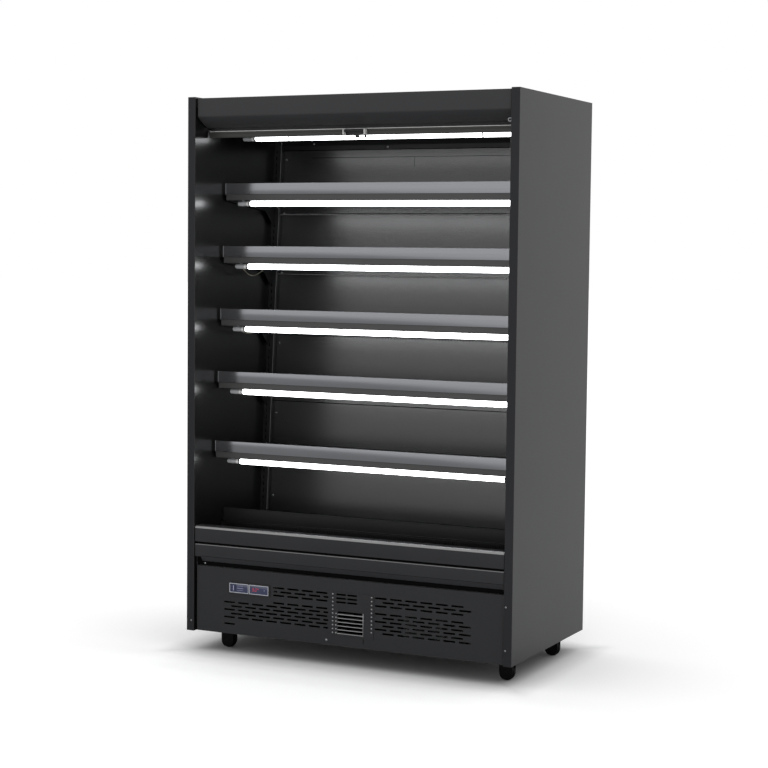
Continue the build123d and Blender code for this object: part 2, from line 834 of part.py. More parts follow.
def coil(x_half, y, z, rows):
    """A finned block with end plates and return bends, in the open part."""
    block((-x_half, x_half), y, z)
    step = (z[1] - z[0]) / rows
    for side in (-1, 1):
        x_range = sorted((side * x_half, side * (x_half + coil_plate)))
        block(x_range, (y[0] - 4, y[1] + 4), (z[0] - 3, z[1] + 3))
        with BuildSketch(across(side * (x_half + coil_plate))) as bends:
            with Locations((sum(y) / 2, sum(z) / 2)):
                with GridLocations(1, step, 1, rows):
                    SlotOverall(y[1] - y[0] - 8, bend_h)
        extrude(bends.sketch, amount=side * bend_out)


condenser_half = 175
condenser_y = (-305, -255)
condenser_z = (88, 288)
with BuildPart() as condenser_coil:
    coil(condenser_half, condenser_y, condenser_z, 8)
write(condenser_coil, "condenser_coil")

evaporator_half = 520
with BuildPart() as evaporator_coil:
    coil(evaporator_half, (-50, 70), (352, 438), 4)
write(evaporator_coil, "evaporator_coil")

condenser_fan_r = 89
condenser_fan_z = 188
condenser_fan_y = -222
evaporator_fan_r = 37
evaporator_fan_x = 280
evaporator_fan_z = 394
evaporator_fan_y = -104
ring_gap = 5
ring_t = 3
ring_depth = 24


def fan_mount(x, y, z, inner_r, motor_l):
    """A cowl ring, a motor behind the blades and the three arms that hold it."""
    with BuildSketch(facing(y)) as ring:
        with Locations((x, z)):
            Circle(inner_r + ring_t)
            Circle(inner_r, mode=Mode.SUBTRACT)
    extrude(ring.sketch, amount=-ring_depth)
    motor_y = y + ring_depth
    rod((x, motor_y, z), to_back, inner_r * 0.3, motor_l)
    with BuildSketch(facing(motor_y + 6)) as arms:
        with Locations((x, z)):
            with PolarLocations(inner_r * 0.65, 3, start_angle=90):
                Rectangle(inner_r * 0.76, 6)
    extrude(arms.sketch, amount=6)


with BuildPart() as fan_shrouds:
    shroud_x = (-condenser_half, condenser_half)
    with BuildSketch(facing(condenser_fan_y)):
        with Locations((0, condenser_fan_z)):
            Rectangle(2 * condenser_half, condenser_z[1] - condenser_z[0])
            Circle(condenser_fan_r + ring_gap, mode=Mode.SUBTRACT)
    extrude(amount=sheet)
    for z in (condenser_z[0], condenser_z[1] - sheet):
        block(shroud_x, (condenser_y[1] + 6, condenser_fan_y), (z, z + sheet))
    fan_mount(0, condenser_fan_y, condenser_fan_z, condenser_fan_r + ring_gap, 45)
    fan_places = [(-evaporator_fan_x, evaporator_fan_z), (evaporator_fan_x, evaporator_fan_z)]
    with BuildSketch(facing(evaporator_fan_y)):
        with Locations((0, (tub_floor + deck_z - sheet) / 2)):
            Rectangle(2 * fit_x, deck_z - sheet - tub_floor)
        with Locations(*fan_places):
            Circle(evaporator_fan_r + ring_gap, mode=Mode.SUBTRACT)
    extrude(amount=sheet)
    for x, z in fan_places:
        fan_mount(x, evaporator_fan_y, z, evaporator_fan_r + ring_gap, 20)
write(fan_shrouds, "fan_shrouds")

blade_pitch = 35


def fan_blades(x, y, z, radius, blade_count):
    """A hub with pitched blades inside a cowl ring, in the open part."""
    hub_r = radius * 0.28
    rod((x, y + 2, z), to_back, hub_r, 20)
    root = hub_r * 0.7
    for i in range(blade_count):
        hub = Location((x, y + 12, z), (0, i * 360 / blade_count, 0))
        outward = Location((root, 0, 0), (0, 90, 0))
        pitched = Location((0, 0, 0), (0, 0, blade_pitch))
        with BuildSketch(Plane(hub * outward * pitched)) as blade:
            Rectangle(radius * 0.42, 1.6)
        extrude(blade.sketch, amount=radius - root)


with BuildPart() as condenser_fan:
    fan_blades(0, condenser_fan_y, condenser_fan_z, condenser_fan_r, 5)
write(condenser_fan, "condenser_fan")

for number, (x, z) in enumerate(fan_places, start=1):
    with BuildPart() as evaporator_fan:
        fan_blades(x, evaporator_fan_y, z, evaporator_fan_r, 5)
    write(evaporator_fan, f"evaporator_fan_{number}")

pipe_r = 5
condenser_pipe_x = condenser_half + coil_plate + bend_out
condenser_mid_y = sum(condenser_y) / 2
low_z = 100.5
high_z = 200.5
tub_underside = front_panel_z[1]
with BuildPart() as refrigerant_pipes:
    suction = [
        (330, 40, shell_z[1]),
        (330, 40, 285),
        (330, 180, 285),
        (-200, 180, 285),
        (-200, 180, tub_underside),
    ]
    tube(suction, [15, 25, 12], pipe_r)
    discharge = [
        (412, 20, high_z),
        (460, 20, high_z),
        (460, condenser_mid_y, high_z),
        (condenser_pipe_x, condenser_mid_y, high_z),
    ]
    tube(discharge, [25, 25], pipe_r)
    liquid = [
        (-condenser_pipe_x, condenser_mid_y, low_z),
        (-260, condenser_mid_y, low_z),
        (-260, 150, low_z),
        (-260, 150, tub_underside),
    ]
    tube(liquid, [25, 25], pipe_r)
    rod((-260, -75, low_z), to_back, 16, 150)
write(refrigerant_pipes, "refrigerant_pipes")

# ---------------------------------------------------------------- fixings


def screw_head(seat, head_h):
    """A domed screw head standing on a sketch plane at its seat."""
    with BuildSketch(seat) as outline:
        Circle(screw_r)
    extrude(outline.sketch, amount=head_h, taper=22)


def front_seat(x, y, z):
    """A seat that looks forward."""
    return Plane(origin=(x, y, z), x_dir=(1, 0, 0), z_dir=(0, -1, 0))


duct_screws = [(side * 548, z) for side in (-1, 1) for z in (1768, 1566, 1343, 1080, 816, 505)]
duct_screws += [(-429, 1826), (429, 1826), (-125, 1811)]
eyelet_at = (573, 1860)
with BuildPart() as cabinet_screws:
    for places in side_screws.values():
        for x, z in places:
            screw_head(front_seat(x, front_y + seat_depth, z), 1.9)
    for x, z in duct_screws:
        seat = duct_plane(z)
        screw_head(Plane(origin=(x, *tuple(seat.origin)[1:]), x_dir=(1, 0, 0), z_dir=seat.z_dir), 2.5)
    screw_head(front_seat(-66, front_panel_y, 89), 2.5)
    screw_head(front_seat(-561, tub_y, 313), 2.5)
    with BuildSketch(facing(-298.5)):
        with Locations(eyelet_at):
            Circle(8)
            Circle(3.2, mode=Mode.SUBTRACT)
    extrude(amount=3)
write(cabinet_screws, "cabinet_screws")
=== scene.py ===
# Open multideck display fridge. Sizes in the dictionaries are millimetres,
# measured from the floor under the middle of the cabinet: +X right, +Y back, +Z up.
import bmesh
import bpy
import math

from mathutils import Matrix, Vector


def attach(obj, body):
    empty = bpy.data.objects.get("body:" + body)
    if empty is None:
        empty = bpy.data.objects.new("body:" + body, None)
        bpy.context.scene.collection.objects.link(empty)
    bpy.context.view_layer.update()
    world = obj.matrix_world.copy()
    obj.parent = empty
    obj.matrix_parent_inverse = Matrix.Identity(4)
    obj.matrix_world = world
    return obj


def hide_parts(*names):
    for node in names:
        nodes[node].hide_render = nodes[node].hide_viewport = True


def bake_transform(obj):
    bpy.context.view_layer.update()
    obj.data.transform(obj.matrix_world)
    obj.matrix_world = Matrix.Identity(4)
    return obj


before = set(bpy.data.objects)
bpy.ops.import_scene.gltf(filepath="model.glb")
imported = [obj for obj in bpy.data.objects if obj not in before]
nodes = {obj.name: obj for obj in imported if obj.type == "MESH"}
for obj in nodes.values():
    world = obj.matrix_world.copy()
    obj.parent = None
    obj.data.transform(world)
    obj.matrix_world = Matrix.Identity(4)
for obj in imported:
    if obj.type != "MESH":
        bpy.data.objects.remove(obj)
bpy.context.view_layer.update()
mm = 0.001
print("frame loaded:", len(nodes), "nodes")

# Places that several pieces share
railTops = [1667, 1442, 1217, 992, 742]
shelfDepth = 372
ductAtFloor, ductLean = 103.8, 0.0712
corners = {
    "front_left": (-540, -236),
    "front_right": (540, -236),
    "rear_left": (-540, 190),
    "rear_right": (540, 190),
}


def ductY(z):
    return ductAtFloor + ductLean * z


def railY(top):
    return ductY(top) - shelfDepth


# --- camera and cords

cameraSet = {
    "azimuth": 25.910,
    "elevation": 4.172,
    "roll": 0.592,
    "place": (2.83819, -5.87841, 1.43273),
    "lens": 86.06,
}


def makeCamera(c):
    azimuth, elevation, roll = (math.radians(c[k]) for k in ("azimuth", "elevation", "roll"))
    back = Vector(
        (
            math.sin(azimuth) * math.cos(elevation),
            -math.cos(azimuth) * math.cos(elevation),
            math.sin(elevation),
        )
    )
    right = (-back).cross(Vector((0, 0, 1))).normalized()
    up = right.cross(-back)
    across = math.cos(roll) * right + math.sin(roll) * up
    upright = -math.sin(roll) * right + math.cos(roll) * up
    data = bpy.data.cameras.new("productCamera")
    data.lens = c["lens"]
    data.sensor_width = 36
    data.clip_end = 200
    camera = bpy.data.objects.new("productCamera", data)
    turn = Matrix((across, upright, back)).transposed().to_4x4()
    camera.matrix_world = Matrix.Translation(c["place"]) @ turn
    bpy.context.scene.collection.objects.link(camera)
    bpy.context.scene.camera = camera


makeCamera(cameraSet)

# Two lamp leads hang in a loop under their shelves
leadSet = {
    "radius": 2,
    "lamp_lead_2": {
        "length": 0.265,
        "points": [
            (-541, -128.53, 1364),
            (-541, -108, 1364),
            (-546, -74, 1349),
            (-552, -35, 1335.5),
            (-557, 5, 1334),
            (-560, 43, 1340.5),
            (-560, 74, 1352.5),
            (-560, 95, 1375),
            (-560, 95, 1400),
        ],
    },
    "lamp_lead_3": {
        "length": 0.253,
        "points": [
            (-541, -144.55, 1139),
            (-541, -124, 1139),
            (-546, -90, 1130),
            (-552, -50, 1123.5),
            (-557, -10, 1122),
            (-559, 28, 1127),
            (-560, 58, 1137),
            (-560, 78, 1154),
            (-560, 78, 1175),
        ],
    },
}


def makeLead(node, route):
    curve = bpy.data.curves.new(node, "CURVE")
    curve.dimensions = "3D"
    curve.bevel_depth = 1.0  # each point's radius is the lead's own
    curve.bevel_resolution = 4
    curve.resolution_u = 10
    curve.use_fill_caps = True
    line = curve.splines.new("NURBS")
    line.points.add(len(route["points"]) - 1)
    for point, place in zip(line.points, route["points"]):
        point.co = (*(v * mm for v in place), 1)
        point.radius = leadSet["radius"] * mm
    line.order_u = 3
    line.use_endpoint_u = True
    lead = bpy.data.objects.new(node.replace("lamp_lead_", "lampLead"), curve)
    bpy.context.scene.collection.objects.link(lead)
    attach(lead, "cabinet")
    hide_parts(node)
    return lead


leads = [makeLead(node, leadSet[node]) for node in ("lamp_lead_2", "lamp_lead_3")]
print("camera and leads placed")

# --- finishes


def addNode(tree, kind, values=(), **props):
    made = tree.nodes.new(kind)
    for key, value in props.items():
        setattr(made, key, value)
    for socket, value in dict(values).items():
        if isinstance(value, bpy.types.NodeSocket):
            tree.links.new(value, made.inputs[socket])
        else:
            made.inputs[socket].default_value = value
    return made


def maths(tree, operation, a, b=0.0, clamp=False):
    return addNode(
        tree, "ShaderNodeMath", {0: a, 1: b}, operation=operation, use_clamp=clamp
    ).outputs[0]


def blendColour(tree, mask, a, b):
    return addNode(tree, "ShaderNodeMix", {0: mask, 6: a, 7: b}, data_type="RGBA").outputs[2]


def shaderGroup(name, inputs, outputs):
    group = bpy.data.node_groups.new(name, "ShaderNodeTree")
    for label, kind, value in inputs:
        socket = group.interface.new_socket(name=label, in_out="INPUT", socket_type=kind)
        if value is not None:
            socket.default_value = value
    for label in outputs:
        group.interface.new_socket(name=label, in_out="OUTPUT", socket_type="NodeSocketFloat")
    start = group.nodes.new("NodeGroupInput").outputs
    end = group.nodes.new("NodeGroupOutput").inputs
    return group, start, end


number, vector = "NodeSocketFloat", "NodeSocketVector"


# Fine orange-peel grain of a sprayed or moulded skin, and its slow change of tone
def coatGrainGroup():
    group, start, end = shaderGroup(
        "coatGrain",
        [("Place", vector, None), ("Pitch", number, 1.2), ("Patch", number, 180.0)],
        ["Height", "Tone", "Patchy"],
    )
    fine = maths(group, "DIVIDE", 1000.0, start["Pitch"])
    broad = maths(group, "DIVIDE", 1000.0, start["Patch"])
    peel = addNode(group, "ShaderNodeTexNoise", {"Vector": start["Place"], "Scale": fine, "Detail": 2.0})
    slow = addNode(
        group,
        "ShaderNodeTexNoise",
        {"Vector": start["Place"], "Scale": broad, "Detail": 4.0, "Roughness": 0.6},
    )
    speck = addNode(group, "ShaderNodeTexVoronoi", {"Vector": start["Place"], "Scale": fine})
    specks = maths(group, "MULTIPLY", speck.outputs[0], 0.4)
    group.links.new(maths(group, "ADD", peel.outputs[0], specks), end["Height"])
    group.links.new(peel.outputs[0], end["Tone"])
    group.links.new(slow.outputs[0], end["Patchy"])
    return group


# Paint rubbed thin along edges, and a painted highlight along them: lighter where a softened normal leaves
# the true one
def edgeWearAndHighlightGroup():
    group, start, end = shaderGroup(
        "edgeWearAndHighlight",
        [("Place", vector, None), ("Width", number, 0.001), ("Break", number, 60.0)],
        ["Mask"],
    )
    soft = addNode(group, "ShaderNodeBevel", {"Radius": start["Width"]}, samples=4)
    true = addNode(group, "ShaderNodeNewGeometry")
    dot = addNode(
        group,
        "ShaderNodeVectorMath",
        {0: soft.outputs[0], 1: true.outputs["Normal"]},
        operation="DOT_PRODUCT",
    )
    gap = maths(group, "SUBTRACT", 1.0, dot.outputs["Value"])
    edge = maths(group, "MULTIPLY", gap, 6.0, True)
    chips = addNode(
        group, "ShaderNodeTexNoise", {"Vector": start["Place"], "Scale": start["Break"], "Detail": 5.0}
    )
    worn = maths(group, "MULTIPLY", edge, maths(group, "POWER", chips.outputs[0], 1.5), True)
    group.links.new(worn, end["Mask"])
    return group


# Long fine lines of drawn or brushed metal
def brushedGroup():
    group, start, end = shaderGroup(
        "brushedLines",
        [("Place", vector, None), ("Along", vector, (1.0, 1.0, 1.0)), ("Scale", number, 900.0)],
        ["Height", "Streak"],
    )
    run = addNode(
        group, "ShaderNodeVectorMath", {0: start["Place"], 1: start["Along"]}, operation="MULTIPLY"
    )
    lines = addNode(
        group,
        "ShaderNodeTexNoise",
        {"Vector": run.outputs[0], "Scale": start["Scale"], "Detail": 3.0, "Roughness": 0.7},
    )
    group.links.new(lines.outputs[0], end["Height"])
    group.links.new(lines.outputs[0], end["Streak"])
    return group


# Dust that lies on what faces up
def dustGroup():
    group, start, end = shaderGroup(
        "settledDust", [("Place", vector, None), ("Amount", number, 0.3)], ["Mask"]
    )
    true = addNode(group, "ShaderNodeNewGeometry")
    facing = addNode(group, "ShaderNodeSeparateXYZ", {0: true.outputs["Normal"]}).outputs["Z"]
    up = maths(group, "POWER", maths(group, "MAXIMUM", facing, 0.0), 3.0)
    drift = addNode(
        group,
        "ShaderNodeTexNoise",
        {"Vector": start["Place"], "Scale": 14.0, "Detail": 8.0, "Roughness": 0.7},
    )
    mask = maths(group, "MULTIPLY", maths(group, "MULTIPLY", up, drift.outputs[0]), start["Amount"], True)
    group.links.new(mask, end["Mask"])
    return group


# Plain weave: threads over and under, from two crossed waves
def weaveGroup():
    group, start, end = shaderGroup(
        "plainWeave", [("Place", vector, None), ("Pitch", number, 0.9)], ["Height", "Thread"]
    )
    turn = maths(group, "DIVIDE", 1000.0 * math.pi, start["Pitch"])
    parts = addNode(group, "ShaderNodeSeparateXYZ", {0: start["Place"]})
    warp = maths(group, "SINE", maths(group, "MULTIPLY", parts.outputs["X"], turn))
    weft = maths(group, "SINE", maths(group, "MULTIPLY", parts.outputs["Z"], turn))
    cross = maths(group, "MULTIPLY", warp, weft)
    slub = addNode(group, "ShaderNodeTexNoise", {"Vector": start["Place"], "Scale": 220.0, "Detail": 3.0})
    group.links.new(maths(group, "ADD", maths(group, "MULTIPLY", cross, 0.5), 0.5), end["Height"])
    group.links.new(maths(group, "MULTIPLY", maths(group, "ABSOLUTE", cross), slub.outputs[0]), end["Thread"])
    return group


coatGrain, edgeWearAndHighlight, brushedLines = coatGrainGroup(), edgeWearAndHighlightGroup(), brushedGroup()
settledDust, plainWeave = dustGroup(), weaveGroup()


dustColour = (0.16, 0.155, 0.15)
dustRough = 0.5
streakLift, threadShade = 1.15, 0.72


def makeFinish(name, f):
    made = bpy.data.materials.new(name)
    made.use_nodes = True
    tree = made.node_tree
    shader = next(n for n in tree.nodes if n.type == "BSDF_PRINCIPLED")
    place = addNode(tree, "ShaderNodeTexCoord").outputs["Object"]
    shader.inputs["Metallic"].default_value = f.get("metallic", 0.0)
    shader.inputs["IOR"].default_value = f.get("ior", 1.5)
    shader.inputs["Coat Weight"].default_value = f.get("coat", 0.0)
    shader.inputs["Coat Roughness"].default_value = f.get("coatRough", 0.1)

    def using(group, values):
        used = tree.nodes.new("ShaderNodeGroup")
        used.node_tree = group
        tree.links.new(place, used.inputs["Place"])
        for label, value in values.items():
            used.inputs[label].default_value = value
        return used.outputs

    grain = using(coatGrain, {"Pitch": f.get("pitch", 1.2), "Patch": f.get("patch", 180.0)})
    colour = (*f["colour"], 1)
    other = (*f.get("shade", [c * 0.8 for c in f["colour"]]), 1)
    tone = blendColour(tree, grain["Patchy"], other, colour)
    rough = maths(tree, "MULTIPLY_ADD", grain["Patchy"], f.get("roughSpread", 0.1))
    rough.node.inputs[2].default_value = f["rough"] - f.get("roughSpread", 0.1) / 2
    height = grain["Height"]
    if "brush" in f:
        lines = using(brushedLines, {"Along": f["brush"], "Scale": f.get("brushScale", 900.0)})
        tone = blendColour(tree, lines["Streak"], tone, (*[c * streakLift for c in f["colour"]], 1))
        height = lines["Height"]
    if "weave" in f:
        threads = using(plainWeave, {"Pitch": f["weave"]})
        tone = blendColour(tree, threads["Thread"], tone, (*[c * threadShade for c in f["colour"]], 1))
        height = threads["Height"]
    # edges turn lighter: partly worn paint, partly a painted highlight
    if "wearAndHighlight" in f:
        wearAndHighlight = using(edgeWearAndHighlight, {"Width": f["wearAndHighlight"]["width"] * mm, "Break": f["wearAndHighlight"]["break"]})
        tone = blendColour(tree, wearAndHighlight["Mask"], tone, (*f["wearAndHighlight"]["colour"], 1))
    if "dust" in f:
        dust = using(settledDust, {"Amount": f["dust"]})
        tone = blendColour(tree, dust["Mask"], tone, (*dustColour, 1))
        rough = maths(tree, "ADD", rough, maths(tree, "MULTIPLY", dust["Mask"], dustRough), True)
    if "liner" in f:
        # the faces that line the cabinet carry another paint than the outside
        spot = addNode(tree, "ShaderNodeSeparateXYZ", {0: place}).outputs["X"]
        inside = maths(tree, "LESS_THAN", maths(tree, "ABSOLUTE", spot), f["liner"]["reach"] * mm)
        tone = blendColour(tree, inside, tone, (*f["liner"]["colour"], 1))
        tree.links.new(maths(tree, "MULTIPLY", inside, f["liner"]["coat"]), shader.inputs["Coat Weight"])
    tree.links.new(tone, shader.inputs["Base Color"])
    tree.links.new(rough, shader.inputs["Roughness"])
    depth = f.get("grainDepth", 0.02) * mm
    bump = addNode(tree, "ShaderNodeBump", {"Strength": 1.0, "Distance": depth, "Height": height})
    tree.links.new(bump.outputs[0], shader.inputs["Normal"])
    if "glow" in f:
        shader.inputs["Emission Strength"].default_value = f["glow"]
        tree.links.new(tone, shader.inputs["Emission Color"])
    return made


finishSet = {
    "panelPaint": {
        "colour": (0.0195, 0.0201, 0.0222),
        "shade": (0.0167, 0.0172, 0.0191),
        "rough": 0.3,
        "roughSpread": 0.06,
        "ior": 1.25,
        "coatRough": 0.2,
        "pitch": 1.6,
        "grainDepth": 0.006,
        "wearAndHighlight": {"width": 1.2, "colour": (0.07, 0.07, 0.072), "break": 40.0},
        "dust": 0.02,
        "liner": {"reach": 596, "colour": (0.005, 0.005, 0.0052), "coat": 0.8},
    },
    "frontPaint": {
        "colour": (0.0265, 0.027, 0.029),
        "shade": (0.0225, 0.023, 0.025),
        "rough": 0.32,
        "roughSpread": 0.07,
        "ior": 1.27,
        "pitch": 1.4,
        "grainDepth": 0.006,
        "wearAndHighlight": {"width": 1.0, "colour": (0.08, 0.08, 0.082), "break": 50.0},
        "dust": 0.03,
    },
    "shelfPaint": {
        "colour": (0.016, 0.0162, 0.017),
        "shade": (0.0125, 0.0128, 0.0135),
        "rough": 0.3,
        "roughSpread": 0.08,
        "ior": 1.4,
        "grainDepth": 0.006,
        "wearAndHighlight": {"width": 0.8, "colour": (0.08, 0.08, 0.08), "break": 70.0},
        "dust": 0.03,
    },
    # lighter paint for the shelf lips' front faces: painted light
    "lipFrontPaintedLight": {
        "colour": (0.06, 0.06, 0.059),
        "shade": (0.05, 0.05, 0.049),
        "rough": 0.3,
        "roughSpread": 0.08,
        "grainDepth": 0.006,
    },
    "deckPaint": {
        "colour": (0.009, 0.009, 0.0095),
        "shade": (0.007, 0.007, 0.0075),
        "rough": 0.45,
        "ior": 1.35,
        "grainDepth": 0.006,
        "wearAndHighlight": {"width": 0.8, "colour": (0.04, 0.04, 0.04), "break": 70.0},
        "dust": 0.02,
    },
    # pale metal on the bumpers' top edges: painted highlights
    "dimPaintedHighlight": {
        "colour": (0.2, 0.2, 0.205),
        "shade": (0.15, 0.15, 0.155),
        "rough": 0.36,
        "metallic": 1.0,
        "pitch": 2.0,
        "patch": 220.0,
        "grainDepth": 0.003,
    },
    # pale beads at seams and upright edges: painted highlights
    "seamPaintedHighlight": {
        "colour": (0.3, 0.3, 0.296),
        "shade": (0.22, 0.22, 0.216),
        "rough": 0.22,
        "roughSpread": 0.06,
        "ior": 1.7,
        "pitch": 1.6,
        "patch": 90.0,
        "grainDepth": 0.004,
    },
    # near-black for strips put where gaps, grooves and seams fall into shade: painted shade
    "paintedGapShade": {
        "colour": (0.0015, 0.0015, 0.0015),
        "rough": 0.95,
        "roughSpread": 0.04,
        "ior": 1.2,
        "pitch": 1.5,
        "grainDepth": 0.05,
    },
    "ductPaint": {
        "colour": (0.0105, 0.0105, 0.0108),
        "shade": (0.0085, 0.0085, 0.009),
        "rough": 0.26,
        "roughSpread": 0.06,
        "ior": 1.8,
        "pitch": 1.8,
        "grainDepth": 0.004,
    },
    "stripMetal": {
        "colour": (0.27, 0.275, 0.29),
        "shade": (0.255, 0.26, 0.275),
        "rough": 0.16,
        "roughSpread": 0.04,
        "metallic": 1.0,
        "brush": (0.02, 1.0, 1.0),
        "brushScale": 700.0,
        "grainDepth": 0.001,
    },
    "capGrey": {
        "colour": (0.4, 0.41, 0.42),
        "shade": (0.3, 0.31, 0.32),
        "rough": 0.35,
        "brush": (1.0, 0.08, 0.08),
        "brushScale": 1500.0,
        "grainDepth": 0.01,
    },
    "whitePlastic": {
        "colour": (0.8, 0.8, 0.79),
        "shade": (0.72, 0.72, 0.7),
        "rough": 0.35,
        "pitch": 0.8,
        "grainDepth": 0.01,
    },
    "blackPlastic": {
        "colour": (0.012, 0.012, 0.013),
        "shade": (0.008, 0.008, 0.009),
        "rough": 0.45,
        "roughSpread": 0.12,
        "pitch": 0.7,
        "dust": 0.05,
    },
    "greyPlastic": {
        "colour": (0.44, 0.45, 0.5),
        "shade": (0.37, 0.38, 0.43),
        "rough": 0.35,
        "pitch": 0.6,
        "grainDepth": 0.01,
    },
    "smokedLens": {
        "colour": (0.019, 0.026, 0.075),
        "shade": (0.015, 0.021, 0.062),
        "rough": 0.12,
        "roughSpread": 0.04,
        "coat": 1.0,
        "coatRough": 0.04,
        "pitch": 3.0,
        "grainDepth": 0.003,
    },
    "leadSheath": {
        "colour": (0.34, 0.33, 0.27),
        "shade": (0.28, 0.27, 0.21),
        "rough": 0.45,
        "roughSpread": 0.15,
        "pitch": 0.6,
        "grainDepth": 0.03,
    },
    "barMetal": {
        "colour": (0.032, 0.033, 0.03),
        "shade": (0.026, 0.027, 0.024),
        "rough": 0.34,
        "roughSpread": 0.08,
        "ior": 1.4,
        "brush": (0.02, 1.0, 1.0),
        "grainDepth": 0.004,
    },
    "blindCloth": {
        "colour": (0.04, 0.04, 0.042),
        "shade": (0.033, 0.033, 0.035),
        "rough": 0.75,
        "weave": 0.9,
        "grainDepth": 0.12,
    },
    "zinc": {
        "colour": (0.34, 0.345, 0.35),
        "shade": (0.24, 0.245, 0.255),
        "rough": 0.33,
        "roughSpread": 0.2,
        "metallic": 1.0,
        "pitch": 2.5,
        "patch": 8.0,
        "grainDepth": 0.01,
    },
    "slatMetal": {
        "colour": (0.4, 0.4, 0.41),
        "shade": (0.26, 0.26, 0.27),
        "rough": 0.3,
        "roughSpread": 0.15,
        "metallic": 1.0,
        "pitch": 2.0,
        "patch": 30.0,
        "grainDepth": 0.01,
    },
    "wheelRubber": {
        "colour": (0.0016, 0.0016, 0.0016),
        "rough": 0.6,
        "roughSpread": 0.15,
        "ior": 1.15,
        "pitch": 1.0,
        "grainDepth": 0.05,
        "dust": 0.02,
    },
    "casterBlack": {
        "colour": (0.0018, 0.0018, 0.002),
        "rough": 0.4,
        "roughSpread": 0.15,
        "ior": 1.2,
        "pitch": 1.0,
        "wearAndHighlight": {"width": 0.8, "colour": (0.03, 0.03, 0.03), "break": 120.0},
    },
    "compressorBlack": {
        "colour": (0.01, 0.01, 0.01),
        "rough": 0.6,
        "ior": 1.2,
        "pitch": 3.0,
        "dust": 0.05,
    },
    "chassisBlack": {
        "colour": (0.004, 0.004, 0.004),
        "rough": 0.5,
        "roughSpread": 0.15,
        "ior": 1.3,
        "pitch": 2.0,
        "dust": 0.03,
    },
    "tubGrey": {
        "colour": (0.03, 0.031, 0.033),
        "rough": 0.5,
        "roughSpread": 0.12,
        "pitch": 2.0,
        "dust": 0.06,
    },
    "lampGlow": {
        "colour": (0.97, 0.985, 1.0),
        "shade": (0.93, 0.945, 0.96),
        "rough": 0.4,
        "pitch": 2.0,
        "grainDepth": 0.002,
        "glow": 8.0,
    },
    # pale bead on the blind bar's top edge: a painted highlight
    "barEdgePaintedHighlight": {
        "colour": (0.62, 0.62, 0.61),
        "shade": (0.5, 0.5, 0.49),
        "rough": 0.3,
        "ior": 1.8,
        "pitch": 2.0,
        "patch": 120.0,
        "grainDepth": 0.003,
    },
    "digitRed": {
        "colour": (0.4, 0.03, 0.06),
        "rough": 0.4,
        "pitch": 1.0,
        "grainDepth": 0.002,
        "glow": 0.3,
    },
}
# these differ from another finish in a few values
finishSet["fasciaPaint"] = {
    **finishSet["frontPaint"],
    "colour": (0.037, 0.0375, 0.0392),
    "shade": (0.033, 0.0335, 0.035),
    "wearAndHighlight": {"width": 1.0, "colour": (0.09, 0.09, 0.092), "break": 50.0},
}
finishSet["brightPaintedHighlight"] = {
    **finishSet["dimPaintedHighlight"],
    "colour": (0.3, 0.3, 0.3),
    "shade": (0.23, 0.23, 0.235),
    "rough": 0.34,
}
finishSet["keyPlastic"] = {
    **finishSet["greyPlastic"],
    "colour": (0.026, 0.033, 0.078),
    "shade": (0.022, 0.028, 0.066),
}
finishSet["topLampGlow"] = {
    **finishSet["lampGlow"],
    "glow": 5.2,
}
finishSet["markPale"] = {
    **finishSet["digitRed"],
    "colour": (0.34, 0.34, 0.5),
}
finishes = {name: makeFinish(name, f) for name, f in finishSet.items()}
for lead in leads:
    lead.data.materials.append(finishes["leadSheath"])
print("finishes made:", len(finishes))

# --- shapes that the pieces are built from, drawn in millimetres


def arcAround(centre, first, last, steps):
    # first and last are the arc's ends, seen from its centre
    sweep = math.atan2(first.x * last.y - first.y * last.x, first.dot(last))
    return [centre + Matrix.Rotation(sweep * k / steps, 2) @ first for k in range(steps + 1)]


def bendPath(points, radii, steps=5):
    points = [Vector(p) for p in points]
    rounded = [points[0]]
    for before, corner, after, radius in zip(points[:-2], points[1:-1], points[2:], radii):
        if radius <= 0:
            rounded.append(corner)
            continue
        toBack, toNext = (before - corner).normalized(), (after - corner).normalized()
        half = toBack.angle(toNext) / 2
        centre = corner + (toBack + toNext).normalized() * radius / math.sin(half)
        first = corner + toBack * radius / math.tan(half) - centre
        last = corner + toNext * radius / math.tan(half) - centre
        rounded += arcAround(centre, first, last, steps)
    return rounded + [points[-1]]


def sheetRun(bm, path, thick, ends):
    # a bent sheet run along X; thick goes to the left of the path
    sides = []
    for i, point in enumerate(path):
        before, after = path[max(i - 1, 0)], path[min(i + 1, len(path) - 1)]
        steps = [s for s in ((point - before), (after - point)) if s.length > 1e-6]
        turns = [Vector((-s.y, s.x)).normalized() for s in steps]
        middle = sum(turns, Vector((0, 0))).normalized()
        sides.append(point + middle * thick / max(middle.dot(turns[0]), 0.3))
    loops = []
    for x in ends:
        outer = [bm.verts.new((x, p.x, p.y)) for p in path]
        inner = [bm.verts.new((x, p.x, p.y)) for p in sides]
        loops.append(outer + inner[::-1])
        for i in range(len(path) - 1):
            bm.faces.new((outer[i], outer[i + 1], inner[i + 1], inner[i]))
    count = len(loops[0])
    for i in range(count):
        j = (i + 1) % count
        bm.faces.new((loops[0][i], loops[0][j], loops[1][j], loops[1][i]))


def outlineRun(bm, outline, ends):
    loops = [[bm.verts.new((x, p[0], p[1])) for p in outline] for x in ends]
    bm.faces.new(loops[0])
    bm.faces.new(loops[1][::-1])
    for i in range(len(outline)):
        j = (i + 1) % len(outline)
        bm.faces.new((loops[0][i], loops[0][j], loops[1][j], loops[1][i]))


